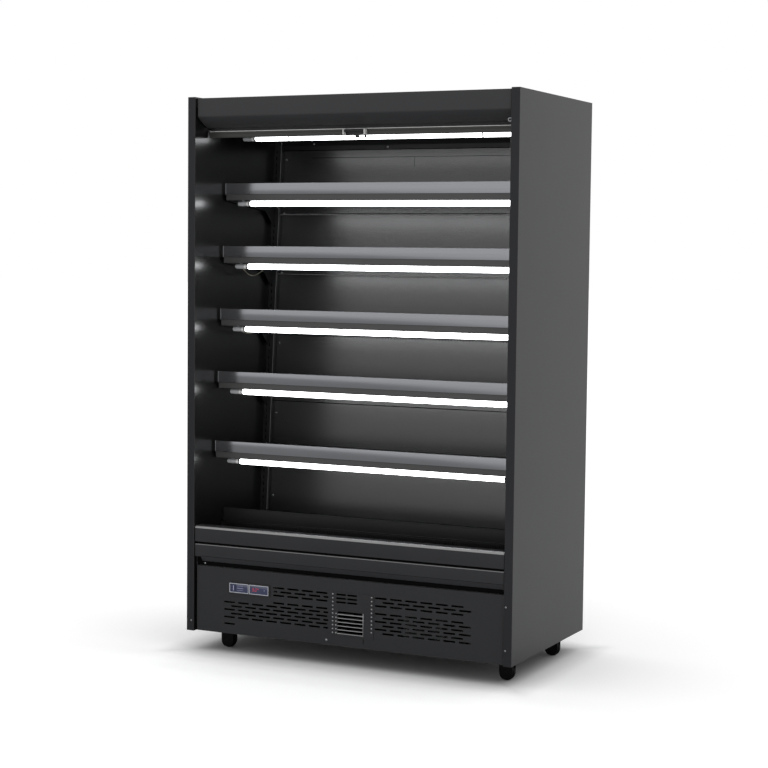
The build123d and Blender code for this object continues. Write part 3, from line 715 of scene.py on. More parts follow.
def softBox(bm, low, high, radius=0.6, segments=2):
    made = bmesh.ops.create_cube(bm, size=1)["verts"]
    size = [b - a for a, b in zip(low, high)]
    middle = [(a + b) / 2 for a, b in zip(low, high)]
    bmesh.ops.scale(bm, vec=size, verts=made)
    bmesh.ops.translate(bm, vec=middle, verts=made)
    edges = list({e for v in made for e in v.link_edges})
    offset = min(radius, min(size) * 0.45)
    bmesh.ops.bevel(bm, geom=edges, offset=offset, segments=segments, profile=0.5, affect="EDGES")


axes = {
    "x": (Vector((1, 0, 0)), Vector((0, 1, 0)), Vector((0, 0, 1))),
    "y": (Vector((0, 1, 0)), Vector((0, 0, 1)), Vector((1, 0, 0))),
    "z": (Vector((0, 0, 1)), Vector((1, 0, 0)), Vector((0, 1, 0))),
}


def roundTurn(steps):
    return [2 * math.pi * k / steps for k in range(steps)]


def turned(bm, outline, centre, axis, steps=32, finish=0):
    # outline is (radius, along the axis); a radius of 0 closes it
    along, first, second = axes[axis]
    centre = Vector(centre)
    rings = []
    for radius, reach in outline:
        middle = centre + along * reach
        if radius == 0:
            rings.append([bm.verts.new(middle)])
            continue
        sides = [math.cos(a) * first + math.sin(a) * second for a in roundTurn(steps)]
        rings.append([bm.verts.new(middle + radius * side) for side in sides])
    for a, b in zip(rings[:-1], rings[1:]):
        for k in range(steps):
            j = (k + 1) % steps
            corner = [a[k % len(a)], a[j % len(a)], b[j % len(b)], b[k % len(b)]]
            unique = list(dict.fromkeys(corner))
            if len(unique) > 2:
                bm.faces.new(unique).material_index = finish


def roundRect(middle, size, radius, steps=3):
    points = []
    for turn, (sx, sy) in enumerate(((1, 1), (-1, 1), (-1, -1), (1, -1))):
        cx = middle[0] + sx * (size[0] / 2 - radius)
        cy = middle[1] + sy * (size[1] / 2 - radius)
        for k in range(steps + 1):
            a = math.pi / 2 * (turn + k / steps)
            points.append((cx + radius * math.cos(a), cy + radius * math.sin(a)))
    return points


def spanRect(across, upright, radius, steps=3):
    (x0, x1), (z0, z1) = across, upright
    return roundRect(((x0 + x1) / 2, (z0 + z1) / 2), (x1 - x0, z1 - z0), radius, steps)


def slotOutline(middle, length, height, steps=6):
    return roundRect(middle, (length, height), height / 2 - 0.01, steps)


def halfRound(y, z, radius):
    # the section of a bead that stands forward of y
    angles = [math.pi * k / 8 for k in range(9)]
    return [(y - radius * math.sin(a), z + radius * math.cos(a)) for a in angles]


def ringOutline(middle, radius, steps=24):
    x, y = middle
    return [(x + radius * math.cos(a), y + radius * math.sin(a)) for a in roundTurn(steps)]


def flatPlate(bm, outline, holes, place, thick, finish=0):
    # a flat sheet with holes; place turns (across, up, depth) into a point
    edges = []
    for loop in [outline, *holes]:
        verts = [bm.verts.new(place(u, v, 0)) for u, v in loop]
        edges += [bm.edges.new((verts[i - 1], verts[i])) for i in range(len(verts))]
    made = bmesh.ops.triangle_fill(bm, use_beauty=True, edges=edges)["geom"]
    faces = [g for g in made if isinstance(g, bmesh.types.BMFace)]
    lifted = bmesh.ops.extrude_face_region(bm, geom=faces, use_keep_orig=True)["geom"]
    verts = [g for g in lifted if isinstance(g, bmesh.types.BMVert)]
    bmesh.ops.translate(bm, vec=Vector(place(0, 0, thick)) - Vector(place(0, 0, 0)), verts=verts)
    for face in {f for v in verts for f in v.link_faces} | set(faces):
        face.material_index = finish


def fromFront(y):
    return lambda u, v, w: (u, y + w, v)


def fromSide(x):
    return lambda u, v, w: (x + w, u, v)


def fromTop(z):
    return lambda u, v, w: (u, v, z + w)


def tubeAlong(bm, points, radius, steps=10, finish=0):
    rings = []
    for i, point in enumerate(points):
        heading = (points[min(i + 1, len(points) - 1)] - points[max(i - 1, 0)]).normalized()
        side = heading.cross(Vector((0.3, 0.9, 0.31))).normalized()
        up = heading.cross(side)
        turns = [math.cos(a) * side + math.sin(a) * up for a in roundTurn(steps)]
        rings.append([bm.verts.new(point + radius * turn) for turn in turns])
    for a, b in zip(rings[:-1], rings[1:]):
        for k in range(steps):
            bm.faces.new((a[k], a[(k + 1) % steps], b[(k + 1) % steps], b[k])).material_index = finish
    for ring in (rings[0], rings[-1]):
        bm.faces.new(ring).material_index = finish


def coatByFacing(bm, finish, facing, least):
    # give another finish to the faces that look a given way
    bmesh.ops.recalc_face_normals(bm, faces=bm.faces)
    wanted = Vector(facing).normalized()
    for face in bm.faces:
        if face.normal.dot(wanted) > least:
            face.material_index = finish


def cleanMesh(bm, name):
    # a drawing in millimetres becomes a mesh in metres, with its faces outwards
    bmesh.ops.remove_doubles(bm, verts=bm.verts, dist=0.001)
    bmesh.ops.recalc_face_normals(bm, faces=bm.faces)
    bmesh.ops.scale(bm, vec=(mm, mm, mm), verts=bm.verts)
    mesh = bpy.data.meshes.new(name)
    bm.to_mesh(mesh)
    bm.free()
    return mesh


def finishPiece(name, bm, coats, body="cabinet", replaced=(), sharp=35, bevel=0.0):
    mesh = cleanMesh(bm, name)
    mesh.shade_smooth()
    mesh.set_sharp_from_angle(angle=math.radians(sharp))
    piece = bpy.data.objects.new(name, mesh)
    bpy.context.scene.collection.objects.link(piece)
    for coat in coats:
        mesh.materials.append(finishes[coat])
    if bevel:
        edge = piece.modifiers.new("softEdge", "BEVEL")
        edge.width = bevel * mm
        edge.segments = 2
        edge.limit_method = "ANGLE"
        edge.angle_limit = math.radians(40)
    if body:
        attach(piece, body)
    if replaced:
        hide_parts(*replaced)
    return piece


# --- repeating pieces, by Geometry Nodes


def repeatTree(name, inputs):
    tree = bpy.data.node_groups.new(name, "GeometryNodeTree")
    tree.interface.new_socket(name="Points", in_out="INPUT", socket_type="NodeSocketGeometry")
    for label, kind in inputs:
        tree.interface.new_socket(name=label, in_out="INPUT", socket_type=kind)
    tree.interface.new_socket(name="Geometry", in_out="OUTPUT", socket_type="NodeSocketGeometry")
    return tree, tree.nodes.new("NodeGroupInput").outputs, tree.nodes.new("NodeGroupOutput").inputs


def closeTree(tree, instances, finish, end):
    real = addNode(tree, "GeometryNodeRealizeInstances", {0: instances})
    painted = addNode(tree, "GeometryNodeSetMaterial", {"Geometry": real.outputs[0], "Material": finish})
    tree.links.new(painted.outputs[0], end[0])


# Heads on points: each turned about its own axis by a seeded amount
def headTree():
    tree, start, end = repeatTree(
        "headsOnPoints",
        [
            ("Head", "NodeSocketObject"),
            ("Facing", "NodeSocketVector"),
            ("Turn Seed", "NodeSocketInt"),
            ("Finish", "NodeSocketMaterial"),
        ],
    )
    shape = addNode(tree, "GeometryNodeObjectInfo", {"Object": start["Head"]})
    aligned = addNode(tree, "FunctionNodeAlignRotationToVector", {"Vector": start["Facing"]}, axis="Z")
    chance = addNode(
        tree,
        "FunctionNodeRandomValue",
        {2: 0.0, 3: 2 * math.pi, 8: start["Turn Seed"]},
        data_type="FLOAT",
    )
    spin = addNode(tree, "FunctionNodeAxisAngleToRotation", {"Axis": (0, 0, 1), "Angle": chance.outputs[1]})
    both = addNode(
        tree,
        "FunctionNodeRotateRotation",
        {"Rotation": aligned.outputs[0], "Rotate By": spin.outputs[0]},
        rotation_space="LOCAL",
    )
    placed = addNode(
        tree,
        "GeometryNodeInstanceOnPoints",
        {"Points": start["Points"], "Instance": shape.outputs["Geometry"], "Rotation": both.outputs[0]},
    )
    closeTree(tree, placed.outputs[0], start["Finish"], end)
    return tree


# One shape set out along a straight line
def lineTree():
    tree, start, end = repeatTree(
        "shapeAlongLine",
        [
            ("Shape", "NodeSocketObject"),
            ("Count", "NodeSocketInt"),
            ("Start", "NodeSocketVector"),
            ("Step", "NodeSocketVector"),
            ("Finish", "NodeSocketMaterial"),
        ],
    )
    line = addNode(
        tree,
        "GeometryNodeMeshLine",
        {"Count": start["Count"], "Start Location": start["Start"], "Offset": start["Step"]},
    )
    shape = addNode(tree, "GeometryNodeObjectInfo", {"Object": start["Shape"]})
    placed = addNode(
        tree,
        "GeometryNodeInstanceOnPoints",
        {"Points": line.outputs[0], "Instance": shape.outputs["Geometry"]},
    )
    closeTree(tree, placed.outputs[0], start["Finish"], end)
    return tree


headsOnPoints, shapeAlongLine = headTree(), lineTree()


def runTree(tree, values, points=()):
    seed = bpy.data.meshes.new("seedPoints")
    seed.from_pydata([[v * mm for v in p] for p in points], [], [])
    host = bpy.data.objects.new("host", seed)
    bpy.context.scene.collection.objects.link(host)
    repeat = host.modifiers.new("repeat", "NODES")
    repeat.node_group = tree
    for item in tree.interface.items_tree:
        if item.in_out == "INPUT" and item.name in values:
            repeat[item.identifier] = values[item.name]
    view = bpy.context.evaluated_depsgraph_get()
    view.update()
    mesh = bpy.data.meshes.new_from_object(host.evaluated_get(view), depsgraph=view)
    host.modifiers.clear()
    bpy.data.objects.remove(host)
    return mesh


def shapeObject(bm, name):
    shape = bpy.data.objects.new(name, cleanMesh(bm, name))
    bpy.context.scene.collection.objects.link(shape)
    return shape


def joinMeshes(meshes, coats=None):
    # back to millimetres; coats gives each mesh its place in the list of finishes
    bm = bmesh.new()
    for i, mesh in enumerate(meshes):
        known = len(bm.faces)
        bm.from_mesh(mesh)
        bm.faces.ensure_lookup_table()
        for face in bm.faces[known:]:
            face.material_index = coats[i] if coats else 0
    bmesh.ops.scale(bm, vec=(1000, 1000, 1000), verts=bm.verts)
    return bm


print("tools ready")

# --- canopy

canopySet = {
    "halfWidth": 590,
    "faceY": -335,
    "top": 1956.4,
    "crease": (-335, 1892),
    "bow": (-300.2, 1869),
    "lip": (-262, 1855),
    "sheet": 1.6,
    "creaseRadius": 7,
    "topReturn": 17,
    "lipReturn": 14,
    "gusset": [(-247, 1857.6), (-247, 1923.5), (-332.5, 1923.5)],
    "gussetThick": 3,
    "pinHole": ((-281, 1895), 5.4),
}


def arcThrough(a, b, c, steps):
    a, b, c = Vector(a), Vector(b), Vector(c)
    d = 2 * (a.x * (b.y - c.y) + b.x * (c.y - a.y) + c.x * (a.y - b.y))
    aa, bb, cc = a.length_squared, b.length_squared, c.length_squared
    middle = Vector(
        (
            (aa * (b.y - c.y) + bb * (c.y - a.y) + cc * (a.y - b.y)) / d,
            (aa * (c.x - b.x) + bb * (a.x - c.x) + cc * (b.x - a.x)) / d,
        )
    )
    return arcAround(middle, a - middle, c - middle, steps)


def makeCanopy(c):
    bow = arcThrough(c["crease"], c["bow"], c["lip"], 10)
    points = [Vector((c["faceY"] + c["topReturn"], c["top"])), Vector((c["faceY"], c["top"]))] + bow
    points.append(Vector((c["lip"][0], c["lip"][1] + c["lipReturn"])))
    radii = [2.5, c["creaseRadius"]] + [0] * (len(bow) - 2) + [1.5]
    path = bendPath(points, radii, 6)
    bm = bmesh.new()
    sheetRun(bm, path, c["sheet"], (-c["halfWidth"], c["halfWidth"]))
    inner = [(p.x + 1.4, p.y + 1.6) for p in bow[1:-1]]
    gusset, thick = inner + c["gusset"], c["gussetThick"]
    for x in (-c["halfWidth"], c["halfWidth"] - thick):
        flatPlate(bm, gusset, [ringOutline(*c["pinHole"])], fromSide(x), thick)
    finishPiece("canopy", bm, ["fasciaPaint"], replaced=["canopy_fascia"], bevel=0.3)


makeCanopy(canopySet)
print("canopy done")

# --- shelves, price strips and brackets

shelfSet = {
    "halfWidth": 586,
    "sheet": 2,
    "lip": 62,
    "plateDrop": 40,
    "bend": 2.5,
    "hem": 9,
    "notch": (563, 15.5),
}
stripSet = {"halfWidth": 588, "height": 40, "thick": 3, "roll": 1.2, "endWidth": 2.2, "proud": 1.0}


def makeShelf(index, top, s):
    face = railY(top) + 3
    plateTop = top - s["plateDrop"]
    back = ductY(plateTop) - 1.5
    w = s["halfWidth"]
    bm = bmesh.new()
    foot = top - s["lip"]
    lip = [(face + 8, foot + 4), (face + 8, foot), (face, foot), (face, top - 1)]
    sheetRun(bm, bendPath(lip, [1.5, s["bend"]], 4), -s["sheet"], (-w, w))
    # the lip's front faces get a lighter paint: painted light falling on them
    coatByFacing(bm, 1, (0, -1, 0), 0.7)
    # the back corners are notched
    notch, front = s["notch"][0], face + 1.8
    deep = back - s["notch"][1]
    right = [(w, front), (w, deep), (notch, deep), (notch, back)]
    outline = [(-w, front)] + right + [(-x, y) for x, y in right[:0:-1]]
    flatPlate(bm, outline, [], fromTop(plateTop - s["sheet"]), s["sheet"])
    hem = [(back - 0.2, plateTop - s["hem"]), (back - 0.2, plateTop), (back - 14, plateTop)]
    sheetRun(bm, bendPath(hem, [1.6], 4), 1.6, (-notch + 1, notch - 1))
    for side in (-1, 1):
        fold = sorted((side * (w - 2), side * w))
        softBox(bm, (fold[0], face + 3, plateTop - 12), (fold[1], back - 30, plateTop), 0.8)
    coats, node = ["shelfPaint", "lipFrontPaintedLight"], f"shelf_{index}"
    finishPiece(f"shelf{index}", bm, coats, replaced=[node], bevel=0.25)


def makeStrips(s):
    bm = bmesh.new()
    for top in railTops:
        y = railY(top)
        middle = (y + s["thick"] / 2, top - s["height"] / 2)
        section = roundRect(middle, (s["thick"], s["height"]), s["roll"], 4)
        outlineRun(bm, section, (-s["halfWidth"], s["halfWidth"]))
        for side in (-1, 1):
            x = sorted((side * s["halfWidth"], side * (s["halfWidth"] - s["endWidth"])))
            softBox(bm, (x[0], y - s["proud"], top - s["height"]), (x[1], y + 1, top), 0.7, 3)
    finishPiece("priceStrips", bm, ["stripMetal"], replaced=["price_rails"], sharp=50)


for index, top in enumerate(railTops, start=1):
    makeShelf(index, top, shelfSet)
makeStrips(stripSet)
print("shelves and price strips done")

# --- lamps

lampSet = {
    "radius": 9.5,
    "lit": (-497, 531),
    "caps": ((-497, -547), (531, 556)),
    "capRadius": 8.7,
    "rings": (5, 14),
    "hangers": (-527, 543),
    "shelfSetback": 25,
    "shelfDrop": 73,
    "top": (-90, 1828),
    "ceiling": 1856,
    "clips": (-359, 392),
    "leadX": -541,
}
lampPlaces = [
    (railY(top) + lampSet["shelfSetback"], top - lampSet["shelfDrop"], top - 42) for top in railTops
]
topLamp = (*lampSet["top"], lampSet["ceiling"])


def lampTube(bm, y, z, s):
    r = s["radius"]
    first, last = s["lit"]
    nose = [(0, 0), (r - 2.2, 0), (r - 1.0, 1.4), (r - 0.2, 4), (r, 7)]
    outline = [(radius, first + step) for radius, step in nose]
    outline += [(radius, last - step) for radius, step in nose[::-1]]
    turned(bm, outline, (0, y, z), "x", 32)


def lampEnds(bm, y, z, held, s):
    r = s["capRadius"]
    for (start, end), hanger in zip(s["caps"], s["hangers"]):
        side = 1 if end > start else -1
        reach = abs(end - start)
        ring, white = (min(most, reach / 3 * k) for k, most in zip((1, 2), s["rings"]))
        black = [(0, 0), (r - 2, 0), (r + 0.2, 0.6), (r + 0.2, ring - 0.4), (r - 0.3, ring)]
        pale = [(r - 0.3, ring), (r + 0.5, ring + 0.4), (r + 0.5, white - 0.5), (r - 0.6, white)]
        grey = [(r - 0.6, white), (r, white + 0.6), (r, reach - 2.2)]
        grey += [(r - 0.4, reach - 0.8), (r - 1.6, reach), (0, reach)]
        for finish, outline in enumerate((grey, pale, black)):
            profile = [(radius, start + side * step) for radius, step in outline]
            turned(bm, profile, (0, y, z), "x", 28, finish)
        band = [(r + 0.1, -5), (r + 0.8, -4.6), (r + 0.8, 4.6), (r + 0.1, 5)]
        if side < 0:
            turned(bm, [(radius, hanger + step) for radius, step in band], (0, y, z), "x", 28)
        softBox(bm, (hanger - 5, y - 2, z + r - 1), (hanger + 5, y + 2, held + 0.2), 0.6)
        softBox(bm, (hanger - 7, y - 5, held - 1.4), (hanger + 7, y + 5, held), 0.6)
    # the lead's ribbed sleeve, behind the left cap
    sleeve = [(0, 0), (3.4, 0), (3.4, 6), (2.9, 6.6), (3.2, 7.2), (2.7, 8)]
    sleeve += [(3.0, 8.8), (2.5, 9.8), (2.2, 12), (0, 12)]
    turned(bm, sleeve, (s["leadX"], y, z - 5), "y", 16, 2)


def makeLamps(s):
    tubes = bmesh.new()
    ends = bmesh.new()
    for y, z, held in lampPlaces:
        lampTube(tubes, y, z, s)
    finishPiece("shelfLamps", tubes, ["lampGlow"], replaced=["shelf_lamp_tubes"])
    upper = bmesh.new()
    lampTube(upper, *s["top"], s)
    finishPiece("topLamp", upper, ["topLampGlow"], replaced=["top_lamp_tube"])
    for y, z, held in lampPlaces + [topLamp]:
        lampEnds(ends, y, z, held, s)
    coats = ["capGrey", "whitePlastic", "blackPlastic"]
    finishPiece("lampEnds", ends, coats, replaced=["lamp_end_caps"])
    clips = bmesh.new()
    y, z = s["top"]
    for x in s["clips"]:
        band = [(9.6, -2.2), (11, -1.9), (11, 1.9), (9.6, 2.2)]
        turned(clips, [(r, x + reach) for r, reach in band], (0, y, z), "x", 28)
        softBox(clips, (x - 1.2, y - 3, z + 9.2), (x + 1.2, y + 3, s["ceiling"]), 0.4)
    finishPiece("topLampClips", clips, ["blackPlastic"])


makeLamps(lampSet)
print("lamps done")

# --- front below the opening

bumperSet = {
    "halfWidth": 592.5,
    "face": -342,
    "tub": -325,
    "top": 449,
    "groove": (385, 392),
    "fold": 339,
    "foot": 322,
    "notch": -568,
    "topRadius": 9,
    "lowRadius": 5,
    "crease": (340.3, 341.5),
    "gap": (306, 321.5),
    "cornerGap": ((-592, -566), (316, 338)),
}


def makeBumpers(s):
    face, tub, top = s["face"], s["tub"], s["top"]
    low, high = s["groove"]
    shape = [(tub, high), (face, high), (face, top), (tub + 25, top), (tub + 25, top - 3), (tub, top - 3)]
    bm = bmesh.new()
    outlineRun(bm, bendPath(shape, [1.2, s["topRadius"], 0, 0], 6), (-s["halfWidth"], s["halfWidth"]))
    # the faces of the rounded top edge that look up and forward get pale metal: a painted highlight
    coatByFacing(bm, 1, (0, -1, 1), 0.74)
    finishPiece("bumperUpper", bm, ["frontPaint", "brightPaintedHighlight"], replaced=["bumper_upper"])
    fold, foot = s["fold"], s["foot"]
    shape = [(tub, low), (face, low), (face, fold), (face + 11, foot), (tub, foot)]
    lower = bendPath(shape, [s["lowRadius"], 4, 1.5], 6)
    shape = [(tub, low), (face, low), (face, fold + 0.2), (tub, fold + 0.2)]
    short = bendPath(shape, [s["lowRadius"], 0.6], 6)
    bm = bmesh.new()
    outlineRun(bm, lower, (s["notch"], s["halfWidth"]))
    outlineRun(bm, short, (-s["halfWidth"], s["notch"]))
    # the lower bumper's top edge gets a dimmer painted highlight the same way
    coatByFacing(bm, 1, (0, -1, 1), 0.8)
    finishPiece("bumperLower", bm, ["frontPaint", "dimPaintedHighlight"], replaced=["bumper_lower"])
    # black strips in the groove, along the foot, in the corner notch and along a pressed crease: painted
    # shade
    bm = bmesh.new()
    reach = s["halfWidth"] - 1
    softBox(bm, (-reach, face + 7, low - 0.3), (reach, tub + 0.5, high + 0.3), 0.3)
    softBox(bm, (-reach, tub - 0.6, s["gap"][0]), (reach, tub + 0.5, s["gap"][1]), 0.4)
    (x0, x1), (z0, z1) = s["cornerGap"]
    softBox(bm, (x0, tub - 2, z0), (x1, tub + 0.5, z1), 0.6)
    softBox(bm, (s["notch"], face - 0.12, s["crease"][0]), (reach, face + 0.5, s["crease"][1]), 0.1)
    finishPiece("bumperSeals", bm, ["paintedGapShade"])


makeBumpers(bumperSet)

deckSet = {"halfWidth": 583, "top": 445, "lipY": -162, "lipTop": 493, "sheet": 2, "bead": 1.2}


def makeDeck(s):
    back = ductY(s["top"]) - 2
    lip = s["lipY"]
    shape = [(back, s["top"] - 2), (lip, s["top"] - 2), (lip, s["lipTop"]), (lip + 6, s["lipTop"])]
    bm = bmesh.new()
    sheetRun(bm, bendPath(shape, [2.4, 2.2], 5), -s["sheet"], (-s["halfWidth"], s["halfWidth"]))
    for z in (s["top"] + 0.6, s["lipTop"] - s["bead"]):
        outlineRun(bm, halfRound(lip + 0.5, z, s["bead"]), (-s["halfWidth"], s["halfWidth"]))
    finishPiece("deckTray", bm, ["deckPaint"], replaced=["deck_tray"], bevel=0.25)


makeDeck(deckSet)

grilleSet = {
    "x": (-50, 116),
    "z": (108, 260),
    "y": -337,
    "sheet": 2,
    "window": ((-22, 75), (113, 194)),
    "slots": [(x, z) for z in (252, 238.6, 225.2) for x in (-9, 33)],
    "slot": (38, 6.5),
    "stile": 3,
    "slats": 6,
    "slat": (9, 1.8),
    "slatY": -335,
    "slatFirst": 118,
    "slatStep": 13.4,
    "slatTilt": 35,
    "rivets": [(-41, 11), (108, 10)],
    "rivetTop": 252,
    "rivetStep": 13.4,
    "tabX": -28,
    "slit": ((75.4, 77.8), (89, 105)),
    "edge": ((588.2, 599.4), (-335, -333), (72, 305)),
}


def rivetShape():
    bm = bmesh.new()
    turned(bm, [(3.1, 0), (3.1, -0.5), (2.6, -1.2), (1.5, -1.6), (0, -1.7)], (0, 0, 0), "y", 12)
    return shapeObject(bm, "rivetShape")


def makeServiceGrille(s):
    (left, right), (low, high) = s["window"]
    holes = [spanRect(*s["window"], 1.5)] + [slotOutline(c, *s["slot"]) for c in s["slots"]]
    bm = bmesh.new()
    flatPlate(bm, spanRect(s["x"], s["z"], 2.5), holes, fromFront(s["y"]), s["sheet"])
    frameMesh = bpy.data.meshes.new("frame")
    bmesh.ops.scale(bm, vec=(mm, mm, mm), verts=bm.verts)
    bm.to_mesh(frameMesh)
    bm.free()
    stile = bmesh.new()
    softBox(stile, (right, s["y"] - 2, low), (right + s["stile"], s["y"] + 2, high), 0.8)
    stileShape = shapeObject(stile, "stileShape")
    slat = bmesh.new()
    tilt = math.radians(s["slatTilt"])
    section = [Matrix.Rotation(tilt, 2) @ Vector(p) for p in roundRect((0, 0), s["slat"], 0.8, 3)]
    outlineRun(slat, [(p.x + s["slatY"], p.y) for p in section], (left, right))
    slatShape = shapeObject(slat, "slatShape")
    slats = runTree(
        shapeAlongLine,
        {
            "Shape": slatShape,
            "Count": s["slats"],
            "Start": (0, 0, s["slatFirst"] * mm),
            "Step": (0, 0, s["slatStep"] * mm),
            "Finish": finishes["slatMetal"],
        },
    )
    rivet = rivetShape()
    # two columns of rivets counted down from the top, and a rivet beside each slat
    starts = [(x, count, s["rivetTop"] - (count - 1) * s["rivetStep"]) for x, count in s["rivets"]]
    starts.append((s["tabX"], s["slats"], s["slatFirst"]))
    columns = [
        runTree(
            shapeAlongLine,
            {
                "Shape": rivet,
                "Count": count,
                "Start": (x * mm, s["y"] * mm, lowest * mm),
                "Step": (0, 0, s["rivetStep"] * mm),
                "Finish": finishes["slatMetal"],
            },
        )
        for x, count, lowest in starts
    ]
    whole = joinMeshes([frameMesh, slats, stileShape.data, *columns], [0, 1, 1, 1, 1, 1])
    for shape in (slatShape, stileShape, rivet):
        bpy.data.objects.remove(shape)
    coats = ["frontPaint", "slatMetal"]
    finishPiece("serviceGrille", whole, coats, replaced=["service_grille"], bevel=0.25)
    # a black strip over the panel's slit: painted shade
    slit = bmesh.new()
    (x0, x1), (z0, z1) = s["slit"]
    softBox(slit, (x0, s["y"] + 1.7, z0), (x1, s["y"] + 2.4, z1), 0.2)
    finishPiece("panelSlit", slit, ["paintedGapShade"])
    # the panel closes up to the right end panel, and leaves its gap at the left
    edge = bmesh.new()
    softBox(edge, *zip(*s["edge"]), 0.5)
    finishPiece("panelEdge", edge, ["frontPaint"])


makeServiceGrille(grilleSet)
print("front panels done")

# --- controller

controllerSet = {
    "middle": (-373, 238),
    "size": (166, 40),
    "face": -339,
    "panel": -335,
    "back": -275,
    "modules": (-413, -333),
    "module": (75, 31),
    "rim": 2.2,
    "key": 9,
    "keyRise": 6,
    "keyColumns": (-442, -430),
}
segmentSet = {"wide": 7.4, "tall": 10.5, "thick": 1.7, "slant": 0.08}
segmentsLit = {"3": "abcdg", "2": "abdeg"}


def digitStrokes(text, at, s):
    w, h, t = s["wide"], s["tall"] / 2, s["thick"]
    bars = {
        "a": ((0, 2 * h), (w, 0)),
        "b": ((w, 2 * h), (0, -h)),
        "c": ((w, h), (0, -h)),
        "d": ((0, 0), (w, 0)),
        "e": ((0, h), (0, -h)),
        "f": ((0, 2 * h), (0, -h)),
        "g": ((0, h), (w, 0)),
    }
    strokes = []
    for key in segmentsLit[text]:
        (u, v), run = bars[key]
        start = Vector((at[0] + u, at[1] + v))
        along = Vector(run).normalized()
        side = Vector((-along.y, along.x)) * t / 2
        a, b = start + along * 0.9, start + Vector(run) - along * 0.9
        shape = [a - along * 0.6, a + side, b + side, b + along * 0.6, b - side, a - side]
        strokes.append([(p.x + (p.y - at[1]) * s["slant"], p.y) for p in shape])
    return strokes


def makeController(s):
    cx, cz = s["middle"]
    bm = bmesh.new()
    windows = [roundRect((x, cz), s["module"], 1.2) for x in s["modules"]]
    plate = roundRect((cx, cz), s["size"], 2.5, 4)
    flatPlate(bm, plate, windows, fromFront(s["face"]), s["panel"] - s["face"])
    for x in s["modules"]:
        rimOut = roundRect((x, cz), [v + s["rim"] for v in s["module"]], 2, 4)
        rimIn = roundRect((x, cz), [v - s["rim"] for v in s["module"]], 1.2, 4)
        flatPlate(bm, rimOut, [rimIn], fromFront(s["face"] - 0.6), 1.6, 1)
    softBox(
        bm,
        (cx - s["size"][0] / 2 + 7, s["panel"] + 0.1, cz - s["size"][1] / 2 + 4.5),
        (cx + s["size"][0] / 2 - 7, s["back"], cz + s["size"][1] / 2 - 4.5),
        1.5,
    )
    coats, node = ["blackPlastic", "greyPlastic"], "controller_housing"
    finishPiece("controllerHousing", bm, coats, replaced=[node], bevel=0.3)
    lenses = bmesh.new()
    w, h = s["module"]
    right, left = s["modules"][1], s["modules"][0] + 13
    lensY, lensZ = (s["face"] + 0.4, s["face"] + 1.9), (cz - h / 2 + 0.4, cz + h / 2 - 0.4)
    for x0, x1 in ((right - w / 2 + 0.4, right + w / 2 - 0.4), (left - 24, left + 24)):
        softBox(lenses, (x0, lensY[0], lensZ[0]), (x1, lensY[1], lensZ[1]), 0.7)
    # the left lens runs on round the keys
    keyX = (s["modules"][0] - w / 2 + 0.4, left - 24)
    size, away = s["key"], s["keyRise"]
    keys = [(x, cz + rise) for x in s["keyColumns"] for rise in (away, -away)]
    keyHoles = [roundRect(key, (size, size), 0.6) for key in keys]
    around = roundRect((sum(keyX) / 2, cz), (keyX[1] - keyX[0], h - 0.8), 0.5)
    flatPlate(lenses, around, keyHoles, fromFront(s["face"] + 0.4), 1.5)
    finishPiece("displayLenses", lenses, ["smokedLens"], replaced=["display_lenses"])
    digits = bmesh.new()
    near, far = s["face"] + 0.15, s["face"] + 0.5
    for at, text in ((right - 28, "3"), (right - 15.5, "2")):
        for stroke in digitStrokes(text, (at, cz - 5), segmentSet):
            flatPlate(digits, stroke, [], fromFront(near), 0.3)
    degree = [(1.2, 0), (2.4, 0), (2.4, 0.3), (1.2, 0.3), (1.2, 0)]
    turned(digits, degree, (right - 3, near, cz + 3.6), "y", 14)
    turned(digits, [(0, 0), (0.9, 0), (0.9, 0.3), (0, 0.3)], (right - 18, near, cz - 5), "y", 10)
    finishPiece("displayDigits", digits, ["digitRed"])
    marks = bmesh.new()
    for z, half in ((7.5, 0.25), (0, 0.5), (-7.5, 0.25)):
        softBox(marks, (left - 22, near, cz + z - half), (left + 4, far, cz + z + half), 0.1)
    between = sum(s["keyColumns"]) / 2
    softBox(marks, (between - 1.2, near, cz - 9), (between + 1.2, far, cz + 9), 0.2)
    softBox(marks, (right + 21, near, cz - 1.2), (right + 23, far, cz + 1.2), 0.2)
    finishPiece("displayMarks", marks, ["markPale"])


makeController(controllerSet)
print("controller done")

# --- night blind

blindSet = {
    "barHalf": 588,
    "barY": (-262, -250),
    "barZ": (1822, 1846),
    "clothHalf": 570,
    "clothY": -253.1,
    "clothThick": 0.8,
    "rollerAt": (-281, 1895),
    "rollRadius": 26.8,
    "rollHalf": 570,
    "handleX": (-47, 36),
    "handleOut": 21,
    "earThick": 3,
    "gripRadius": 3.5,
    "ribs": 9,
    "catches": ((-8, 9), (27, 35)),
}


